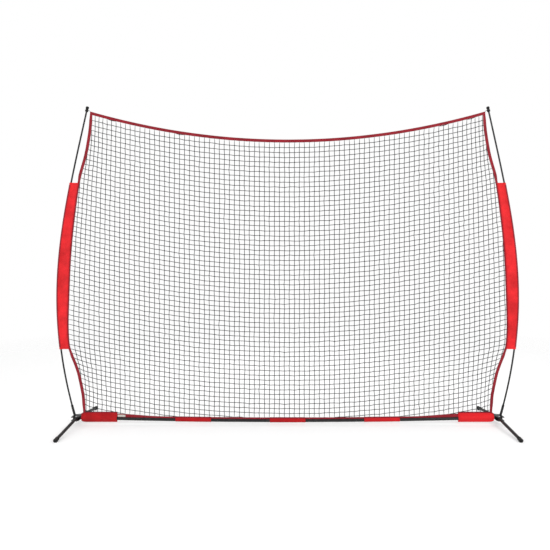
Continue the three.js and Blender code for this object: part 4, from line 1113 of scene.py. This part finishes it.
class NET_OT_legs(bpy.types.Operator):
    """Four folding legs with rubber feet, on a bolt and lock nut each"""

    bl_idname = "net.legs"
    bl_label = "Legs and feet"

    def execute(self, context):
        tip = np.array([0, LEG_REACH - HINGE_OFFSET, LEG_TIP])
        knee = np.array([0, LEG_STRAIGHT + LEG_BEND / 2, BAR_END])
        run = unit(tip - knee)
        bend = bent(knee - (0, LEG_BEND / 2, 0), knee, knee + run * LEG_BEND / 2, 6)
        line = [np.array([0, -LEG_STUB, BAR_END]), *bend, tip]
        for side, way in SIDES.items():
            for end, flip in (("front", -1), ("rear", 1)):
                place = lambda p: np.asarray(p) * (flip, flip, 1) + (way * HINGE[0], flip * HINGE_OFFSET, 0)
                body = f"leg_{side}_{end}"
                path = Path([place(p) for p in line])
                stops = np.r_[np.linspace(0.001, LEG_STUB + LEG_STRAIGHT, 4), path.gone[2:7],
                              np.linspace(path.gone[7] + 0.01, path.length - 0.001, 14)]
                rim, bore = LEG_RADIUS - RIM, LEG_RADIUS - TUBE_WALL
                section = [(0.0, rim), *at_radius(stops, LEG_RADIUS), (path.length, rim),
                           *at_radius([path.length, *stops[::-1], 0.0], bore)]
                tube = turned(f"{body}_tube", path, section, 36, closed=True)
                centre = place((0, 0, 0))
                drilled(tube, centre, centre + (0, 0, 2 * BAR_END), BOLT_RADIUS + GAP)
                dress(tube, "powder_black", body, body=body)
                self.foot(place, tip, run, body, side, end)
                self.fasteners(centre, side, end)
        return {"FINISHED"}

    def foot(self, place, tip, run, body, side, end):
        """A rubber boot with grip rings round it and a flat sole."""
        path = Path([place(tip - run * FOOT_LENGTH), place(tip + run * FOOT_END)])
        bore, outer = LEG_RADIUS + GAP / 2, LEG_RADIUS + GAP + FOOT_WALL
        deep, whole = FOOT_LENGTH + GAP, FOOT_LENGTH + FOOT_END
        outline = [(deep, RUBBER_AXIS), (deep, bore), (0.0, bore), (0.0, outer - 0.0014), (0.0016, outer)]
        for ring in np.arange(0.010, 0.038, GRIP_PITCH):
            outline += [(ring + step, outer - cut)
                        for step, cut in ((0, 0), (0.0009, 0.0011), (0.0026, 0.0011), (0.0035, 0))]
        outline += [(whole - 0.003, outer), (whole, outer - 0.005), (whole, RUBBER_AXIS)]
        boot = turned("boot", path, fillet(outline, BOOT_ROUNDING, steps=3), 40)
        xs, ys, zs = (-SOLE_WIDTH / 2, SOLE_WIDTH / 2), (tip[1] - SOLE_LENGTH, tip[1]), (0.0, tip[2] - 0.002)
        sole = slab("sole", xs, ys, zs, 0.005, 0.0012, 6, place)
        for v in boot.data.vertices:
            v.co.z = max(v.co.z, 0.0002)
        foot = joined(f"boot_{side}_{end}", boot, sole)
        dress(foot, "rubber_black", f"foot_cap_{side}_{end}", body=body)

    def fasteners(self, centre, side, end):
        """The hinge's bolt and nut."""
        seat, under = PLATES_TOP + GAP, PLATES_BOTTOM - GAP
        upright = lambda low, high: Path([centre + (0, 0, low), centre + (0, 0, high)])
        thick, wide = WASHER
        washer = turned("washer", upright(seat - GAP, seat + HEAD_SEAT),
                        fillet([(0, AXIS), (0, wide), (thick, wide), (thick, AXIS)], 0.0003), 36)
        head = hex_solid("head", centre, seat + HEAD_SEAT, seat + BOLT_HEAD)
        foot, top = under - NUT - BOLT_END, seat + 0.002
        shank = turned("shank", upright(foot, top), self.threaded(NUT + BOLT_END, top - foot), 24)
        bolt = joined(f"bolt_{side}_{end}", washer, head, shank)
        dress(bolt, "zinc_steel", f"hinge_bolt_{side}_{end}")
        nut = hex_solid("nut", centre, under - NUT + 0.0022, under)
        tall, bore = 0.0026, 0.0044
        crown = fillet([(0, bore), (0, 0.0058), (tall, 0.0064), (tall, bore)], 0.0006, closed=True)
        collar = turned("collar", upright(under - NUT, under - NUT + tall), crown, 32, closed=True)
        dress(joined(f"nut_{side}_{end}", nut, collar), "zinc_steel", f"lock_nut_{side}_{end}")

    def threaded(self, high, end):
        """Profile of a bolt's shank with a thread over its lower part."""
        half = THREAD_PITCH / 2
        profile = [(0.0, AXIS), (0.0, BOLT_RADIUS - 0.0009)]
        for s in np.arange(half, high, THREAD_PITCH):
            profile += [(s, BOLT_RADIUS), (s + half, BOLT_RADIUS - THREAD_DEPTH)]
        return profile + [(high + THREAD_PITCH, BOLT_RADIUS), (end, BOLT_RADIUS), (end, AXIS)]


class NET_OT_netting(bpy.types.Operator):
    """Square-hung netting: upright and level twines with a knot at each crossing"""

    bl_idname = "net.netting"
    bl_label = "Netting"

    def execute(self, context):
        sizes = context.scene.net_sizes
        rng = np.random.default_rng(context.scene.net_stage.seed)
        knots, inside = self.lattice(sizes, rng)
        levels = knots.transpose(1, 0, 2)
        for name, rows, within, lift in (
            ("twine_uprights", knots, inside, -0.45), ("twine_levels", levels, inside.T, 0.45)
        ):
            lines = [run for row in zip(rows, within) for run in self.runs(*row)]
            dress(self.twine(name, lines, sizes.twine / 2, lift), "twine_black", "net")
        dress(self.knots("twine_knots", knots[inside], sizes, rng), "twine_black", "net")
        return {"FINISHED"}

    def lattice(self, sizes, rng):
        """Where the knots are, and which of them lie inside the tapes. The rows sag with the top
        edge and hang closer lower down. The columns beside the tapes follow their curve."""
        pitch, widest = sizes.mesh, float(edge_at(1.2))
        half = math.ceil((widest + pitch) / pitch)
        columns = (np.arange(-half, half + 1) * pitch + pitch * 0.35)[:, None]
        rows = [0.0]
        while rows[-1] < FRAME_TOP + TOP_SAG:
            rows.append(rows[-1] + pitch * (1.02 - 0.06 * min(1, rows[-1] / FRAME_TOP)))
        rows = np.array(rows[:-1])[None]
        sag = TOP_SAG + (sizes.row_sag - TOP_SAG) * np.clip(rows / FRAME_TOP, 0, 1)
        x = np.repeat(columns, rows.size, 1)
        for _ in range(6):  # heights and widths follow from each other
            z = CORNER_HEIGHT - rows - sag * (1 - np.clip(np.abs(x) / CORNER_X, 0, 1.15) ** 2) + pitch * 0.4
            edge = edge_at(np.clip(z, 0.1, CORNER_HEIGHT))
            pull = (widest - edge) * np.exp(-np.maximum(0, widest - np.abs(columns)) / 0.17) * 0.8
            x = columns - np.sign(columns) * pull
            inboard = np.maximum(0, edge - np.abs(x))
            low_part = np.sin(np.clip((z - 0.06) / 0.62, 0, 1) * math.pi)
            z = z + CORNER_LIFT * np.exp(-inboard / 0.07) * low_part
        x = x + rng.normal(0, sizes.uneven, x.shape)
        z = z + rng.normal(0, sizes.uneven, x.shape)
        loose = np.cos(np.clip(np.abs(x) / widest, 0, 1) * math.pi / 2)
        depth = sizes.billow * waves(x, z, 5, 1.6, 0.35) * loose
        clear = 0.004
        side = edge_at(np.clip(z, 0.05, CORNER_HEIGHT)) - SIDE_TAPE - clear
        inside = (np.abs(x) < side) & (z < top_edge(x) - TOP_TAPE - clear) & (z > bottom_edge(x) + clear)
        return np.stack([x, depth, z], -1), inside

    def runs(self, points, inside):
        """Unbroken runs of knots, each with ends that reach into the tapes."""
        turns = np.flatnonzero(np.diff(inside)) + 1
        return [np.array([self.end(points[first], points[first - 1]), *points[first:after],
                          self.end(points[after - 1], points[after])])
                for first, after in zip(turns[::2], turns[1::2])]

    def end(self, last, beyond):
        """The first point on the way past the next knot where the twine is well under the tape."""
        for share in np.linspace(0.05, 2, 79):
            p = last + (beyond - last) * share
            out = max(abs(p[0]) - float(edge_at(min(max(p[2], 0.05), CORNER_HEIGHT))) + SIDE_TAPE,
                      p[2] - float(top_edge(p[0])) + TOP_TAPE, float(bottom_edge(p[0])) - p[2])
            if out > 0.009:
                return p * (1, 0, 1)
        return beyond * (1, 0, 1)

    def twine(self, name, lines, radius, lift):
        """All the twines of one direction as one mesh of slim tubes that pass over and under."""
        sides = 4
        cosine, sine = circle(sides)
        side_width = 2 * math.pi * radius / sides
        points, faces, uvs, start = [], [], [], 0
        for number, line in enumerate(lines):
            rows = len(line) * 2 - 1
            woven = np.empty((rows, 3))
            woven[0::2], woven[1::2] = line, (line[:-1] + line[1:]) / 2
            index = np.arange(rows)
            over = np.where(index % 2 == 0, lift, 0.0) * np.where(index // 2 % 2 == number % 2, 1, -1)
            over[[0, -1]] = 0
            woven[:, 1] += radius * over
            thick = np.full((rows, 1, 1), radius)
            thick[[0, 1, -2, -1], 0, 0] *= 0.4, 0.85, 0.85, 0.4
            run = unit(np.gradient(woven, axis=0))
            side = unit(np.cross(run, (0, 1, 0)))
            spread = cosine * side[:, None] + sine * np.cross(side, run)[:, None]
            points.append((woven[:, None] + thick * spread).reshape(-1, 3))
            quads, uv = ring_faces(rows, sides, lengths(woven), side_width * np.arange(sides + 1), flip=True)
            ends = np.array([[0, 1, 2, 3], [3, 2, 1, 0]]) + [[0], [(rows - 1) * sides]]
            faces += [start + quads, start + ends]
            uvs += [uv, np.tile(side_width * np.array([[0, 0], [1, 0], [1, 1], [0, 1]]), (2, 1))]
            start += rows * sides
        return make_object(name, np.vstack(points), np.vstack(faces), np.vstack(uvs), None)

    def knots(self, name, centres, sizes, rng):
        """A small lump of twine at each crossing, wider than it is deep."""
        sides = 6
        ring = np.hstack(circle(sides))
        wide, tall = arc(1, 35, 35, 1)[0]
        rings = [np.insert(ring * wide, 2, z, axis=1) for z in (-tall, tall)]
        lump = np.vstack([(0, 0, -1), *rings, (0, 0, 1)])
        faces = []
        for low in range(1, sides + 1):
            low_next = low % sides + 1
            high, high_next = low + sides, low_next + sides
            faces += [[0, low_next, low], [low, low_next, high_next, high], [high, high_next, 2 * sides + 1]]
        count = len(centres)
        size = sizes.knot * np.array([0.5, 0.36, 0.5]) * rng.uniform(0.88, 1.1, (count, 3))
        lean = rng.uniform(-0.7, 0.7, count)[:, None]
        x, y, z = np.moveaxis(lump[None] * size[:, None], -1, 0)
        shape = np.stack([x * np.cos(lean) - z * np.sin(lean), y, x * np.sin(lean) + z * np.cos(lean)], -1)
        starts = np.arange(count)[:, None] * len(lump)
        every = [face for f in faces for face in (starts + f).tolist()]
        uvs = [np.tile(lump[f][:, [0, 2]] * sizes.knot, (count, 1)) for f in faces]
        return make_object(name, (centres[:, None] + shape).reshape(-1, 3), every, np.vstack(uvs), None)


class NET_OT_tapes(bpy.types.Operator):
    """Crimson tapes folded over the net's edges and stitched through"""

    bl_idname = "net.tapes"
    bl_label = "Binding tapes"

    def execute(self, context):
        wall = context.scene.net_cloth.tape
        x = np.linspace(-CORNER_X + 0.001, CORNER_X - 0.001, 190)
        edge = np.column_stack([x, top_edge(x)])
        self.tape("tape_top", edge, (0, -1), TOP_TAPE, wall, "top_tape", 21, 1, 0.0010)
        corner = float(edge_at(END_SLEEVE_TOP)) - 0.002
        x = np.linspace(-corner, corner, 190)
        wide = bottom_edge(x) - bar_top(x)
        edge = np.column_stack([x, bar_top(x) + wall / 2])
        self.tape("tape_bottom", edge, (0, 1), wide, wall, "bottom_tape", 22, -1, 0.0004)
        z = np.linspace(END_SLEEVE_TOP - 0.03, CORNER_HEIGHT - 0.004, 160)
        low, high = SIDE_SLEEVE
        held = smoothstep(z, low - 0.07, low - 0.01) * (1 - smoothstep(z, high + 0.01, high + 0.07))
        ends = smoothstep(z, END_SLEEVE_TOP, END_SLEEVE_TOP + 0.08) * (
            1 - smoothstep(z, CORNER_HEIGHT - 0.09, CORNER_HEIGHT - 0.01))
        spread = SIDE_SPREAD * (1 - held) * ends
        for number, (side, way) in enumerate(SIDES.items()):
            edge = np.column_stack([way * (edge_at(z) + spread), z])
            self.tape(f"tape_{side}", edge, (-way, 0), SIDE_TAPE + spread, wall, f"side_tape_{side}",
                      23 + number, -way, 0.0004)
        self.patch(wall)
        return {"FINISHED"}

    def tape(self, name, edge, inward, width, wall, node, seed, turn, sway):
        """A folded tape whose fold runs along an edge and which reaches inward over the net."""
        widths = np.broadcast_to(width, len(edge))
        gone = lengths(edge)
        puckered = widths * (1 + 0.025 * waves(gone, 0, seed, 0.08, 0.02))
        drift = sway * waves(gone, 0, seed + 50, 0.7, 0.2)
        grid = []
        for place, wide, aside in zip(edge, puckered, drift):
            section = self.folded(wide)
            x, z = (place + np.outer(wide - section[:, 0], inward)).T
            grid.append(np.column_stack([x, section[:, 1] + aside, z]))
        tape = sheet_mesh(name, np.array(grid)[:, ::turn], wall)
        dress(tape, "tape_crimson", node)

    def folded(self, width):
        """Cross-section of a tape folded over the net: (distance from its free edges, depth) pairs."""
        flat = width - TAPE_FOLD
        u = np.linspace(0, flat, 5)[:-1]
        front = np.column_stack([u, (TAPE_MOUTH - TAPE_FOLD) * u / flat - TAPE_MOUTH])
        return np.vstack([front, arc(TAPE_FOLD, -90, 90, 7) + (flat, 0), front[::-1] * (1, -1)])

    def patch(self, wall):
        """A plain woven patch sewn to the front of the lower tape, beside the left end sleeve."""
        low = -END_SLEEVE + BASE_SLEEVE_LENGTH / 2 + 0.006
        x = np.linspace(low, low + PATCH[0], 30)[:, None]
        z = bar_top(x) + 0.004 + np.linspace(0, 1, 8) * PATCH[1]
        depth = -(TAPE_MOUTH + wall / 2 + 0.0007) - 0.0004 * waves(x, 0, 77, 0.05, 0.02)
        grid = np.stack(np.broadcast_arrays(x, depth, z), -1)
        patch = sheet_mesh("plain_patch", grid[:, ::-1], 0.0005)
        dress(patch, "cloth_red", look="patch_pale")


def hemmed(grid, sizes):
    """The cloth's thickness along a sleeve, which is double at its hems."""
    u = lengths(grid, 0).mean(1)
    end = np.minimum(u, u[-1] - u)
    return sizes.cloth * (1 + np.clip((sizes.hem - end) / 0.001 + 0.5, 0, 1))


class NET_OT_side_sleeves(bpy.types.Operator):
    """Red sleeves that hold the net's sides to the poles"""

    bl_idname = "net.side_sleeves"
    bl_label = "Side sleeves"

    def execute(self, context):
        sizes = context.scene.net_cloth
        pocket = POLE_BORE + FERRULE_WALL + POCKET_CLEAR
        lip = TAPE_MOUTH + sizes.tape / 2 + LIP_CLEAR
        for number, side in enumerate(SIDES):
            grid = []
            for z in np.linspace(*SIDE_SLEEVE, 240):
                flare = pocket + 0.0022 * math.exp(-min(z - SIDE_SLEEVE[0], SIDE_SLEEVE[1] - z) / 0.02)
                grid.append(np.insert(self.section(z, flare, lip), 2, z, axis=1))
            grid = self.wrinkled(np.array(grid), sizes.wrinkle, 31 + number)
            sleeve = sheet_mesh(f"sleeve_{side}", grid[:, ::-1], hemmed(grid, sizes))
            dress(sleeve, "cloth_red", f"side_sleeve_{side}", side=side)
            # A dark strip of painted shade on the sleeve's outer fold.
            self.fold_tape(grid, sizes, side)
        return {"FINISHED"}

    def section(self, z, radius, lip):
        """Section at a height, from the tape's front, round the pole and back: (x, y) pairs."""
        bend = arc(radius, -62, -298, 22)
        near, deep = bend[0]
        free = float(pole_at(z)) - float(edge_at(z)) + 0.009
        t = np.linspace(0, 1, 10)[:-1]
        front = np.column_stack([free - t * (free - near), (deep + lip) * t**2.2 - lip])
        return np.vstack([front, bend, front[::-1] * (1, -1)]) * (-1, 1) + (float(pole_at(z)), 0)

    def fold_tape(self, grid, sizes, side):
        """A crimson tape along the sleeve's outer fold round the pole. Its dark colour is painted shade for
        the shade that falls on the fold.
        """
        clear = (hemmed(grid, sizes) + sizes.tape) / 2 + 0.0002
        middle, reach = grid.shape[1] // 2, 10
        band = (grid + facing(grid) * clear[:, None, None])[3:-3, middle - reach:middle + reach]
        tape = sheet_mesh(f"fold_tape_{side}", band[:, ::-1], sizes.tape)
        dress(tape, "tape_crimson", side=side)

    def wrinkled(self, grid, height, seed):
        """Folds that run from the pole's pull to the seam, and die out at the seam."""
        v = lengths(grid, 1).mean(0)
        away = np.abs(v - v[-1] / 2)[None]
        to_seam = v[-1] / 2 - away
        z = grid[..., 2]
        fold = waves(z, away * 0.8, seed, 0.22, 0.05, 0.6)
        fold = fold + 0.4 * waves(z, away * 1.6, seed + 5, 0.08, 0.02, 0.8)
        web = np.clip((away - 0.024) / 0.014, 0, 1)
        flat = fold * web + np.clip(fold, 0, None) * 0.3 * (1 - web)
        inward_clear, fades = 0.02, 0.012
        flat *= np.clip((to_seam - np.where(flat < 0, inward_clear, 0)) / fades, 0, 1)
        return grid + facing(grid) * (height * flat)[..., None]


class NET_OT_base_sleeves(bpy.types.Operator):
    """Red sleeves that hold the net's lower edge to the base bar"""

    bl_idname = "net.base_sleeves"
    bl_label = "Base sleeves"

    def execute(self, context):
        sizes = context.scene.net_cloth
        lip = TAPE_MOUTH + sizes.tape / 2 + LIP_CLEAR
        half = BASE_SLEEVE_LENGTH / 2
        for number, centre in enumerate((-END_SLEEVE, *INNER_SLEEVES, END_SLEEVE)):
            pouch = number in (0, 4)
            steps, folds, seed = (72, 2.2, 61) if pouch else (64, 0.7, 41)
            grid = np.array([
                np.insert(self.pouch(x, centre, lip) if pouch else self.wrap(x, lip), 0, x, axis=1)
                for x in np.linspace(centre - half, centre + half, steps)
            ])
            grid = self.wrinkled(grid, sizes.wrinkle * folds, seed + number)
            sleeve = sheet_mesh(f"base_wrap_{number + 1}", grid, hemmed(grid, sizes))
            # The base sleeves' red is painted in shade, lighter towards the right-hand end as painted light.
            dress(sleeve, "cloth_red", f"base_sleeve_{number + 1}", look="cloth_deep")
        return {"FINISHED"}

    def wrap(self, x, lip):
        """Section of a band from the tape's front, under the bar and up its back."""
        height, top = float(bar_height(x)), float(bottom_edge(x)) + 0.0015
        flank = math.radians(38)
        to_button = np.abs(np.array(BAR_JOINTS) + SWAGE_LENGTH / 2 - x).min()
        over_button = 0.0024 * math.exp(-(to_button / 0.011) ** 2)
        a, t = np.linspace(flank, -math.pi - flank, 34), np.linspace(0, 1, 9)[:-1]
        radius = BAR_RADIUS + WRAP_CLEAR + over_button * np.exp(-((a + math.pi) / 0.65) ** 2)
        under = np.column_stack([-radius * np.cos(a), height + radius * np.sin(a)])
        y, z = under[0]
        front = np.column_stack([(y + lip) * t**1.6 - lip, top + (z - top) * t])
        return np.vstack([front, under, front[::-1] * (-1, 1)])

    def pouch(self, x, centre, lip):
        """Section of a baggy pouch over the bar: down the front, folded at the foot and up the back."""
        radius = BAR_RADIUS + POUCH_CLEAR
        height = float(bar_height(x))
        to_end = BASE_SLEEVE_LENGTH / 2 - math.copysign(1, centre) * (x - centre)
        round_off = 1 - math.sqrt(max(0.0, 1 - (1 - min(1, (to_end + 0.004) / 0.046)) ** 2))
        top = END_SLEEVE_TOP - (END_SLEEVE_TOP - height - radius - 0.006) * round_off * 0.75
        foot = END_SLEEVE_BOTTOM + (height - radius - 0.004 - END_SLEEVE_BOTTOM) * round_off
        over_bar = radius * np.array([(0.82, 0.72), (1, 0.1), (0.86, -0.62), (0.46, -1.02)]) + (0, height)
        above, below = top - height - radius, height - radius - foot
        side = smooth_line(np.array([
            (lip + 0.0009, top), (0.0069, top - above * 0.35), (0.0075, height + radius * 1.15), *over_bar,
            (0.0046, foot + below * 0.45), (0.0030, foot + 0.003), (0.0012, foot),
        ]), 24)
        return np.vstack([side * (-1, 1), side[::-1]])

    def wrinkled(self, grid, height, seed):
        """Folds that stand out from the bar and the tape. The layers of a flap move together."""
        x, z = grid[..., 0], grid[..., 2]
        fold = waves(x, z * 0.7, seed, 0.13, 0.04, 0.7)
        fold = fold + 0.5 * waves(z, x * 0.3, seed + 9, 0.06, 0.02, 0.8)
        low, high = z.min(1, keepdims=True), z.max(1, keepdims=True)
        calm = np.clip(np.minimum(z - low, high - z) / 0.008, 0, 1)
        flap = np.clip((bar_height(x) - BAR_RADIUS - 0.002 - z) / 0.006, 0, 1)[..., None]
        move = (height * calm * fold)[..., None]
        return grid + np.maximum(move, 0) * (1 - flap) * facing(grid) + move * flap * (0, 1, 0)


OPERATORS = (
    NET_OT_stage, NET_OT_elastic, NET_OT_poles, NET_OT_caps, NET_OT_base_bar, NET_OT_brackets,
    NET_OT_legs, NET_OT_netting, NET_OT_tapes, NET_OT_side_sleeves, NET_OT_base_sleeves,
)
GROUPS = {
    "net_sizes": NetSizes, "net_cloth": ClothSizes, "net_finishes": Finishes, "net_stage": StageSettings,
}


class NET_PT_panel(bpy.types.Panel):
    """Lists the net's sizes, colours and operators"""

    bl_idname = "NET_PT_panel"
    bl_label = "Pitching target net"
    bl_space_type = "VIEW_3D"
    bl_region_type = "UI"
    bl_category = "Net"

    def draw(self, context):
        for attribute, group in GROUPS.items():
            box = self.layout.box()
            for key in group.__annotations__:
                box.prop(getattr(context.scene, attribute), key)
        for operator in OPERATORS:
            self.layout.operator(operator.bl_idname)


def register():
    for cls in (*GROUPS.values(), *OPERATORS, NET_PT_panel):
        bpy.utils.register_class(cls)
    for attribute, group in GROUPS.items():
        setattr(bpy.types.Scene, attribute, PointerProperty(type=group))


def unregister():
    for attribute in GROUPS:
        delattr(bpy.types.Scene, attribute)
    for cls in (NET_PT_panel, *OPERATORS[::-1], *GROUPS.values()):
        bpy.utils.unregister_class(cls)


def main():
    register()
    for operator in OPERATORS:
        family, name = operator.bl_idname.split(".")
        getattr(getattr(bpy.ops, family), name)()


if __name__ == "__main__":
    main()
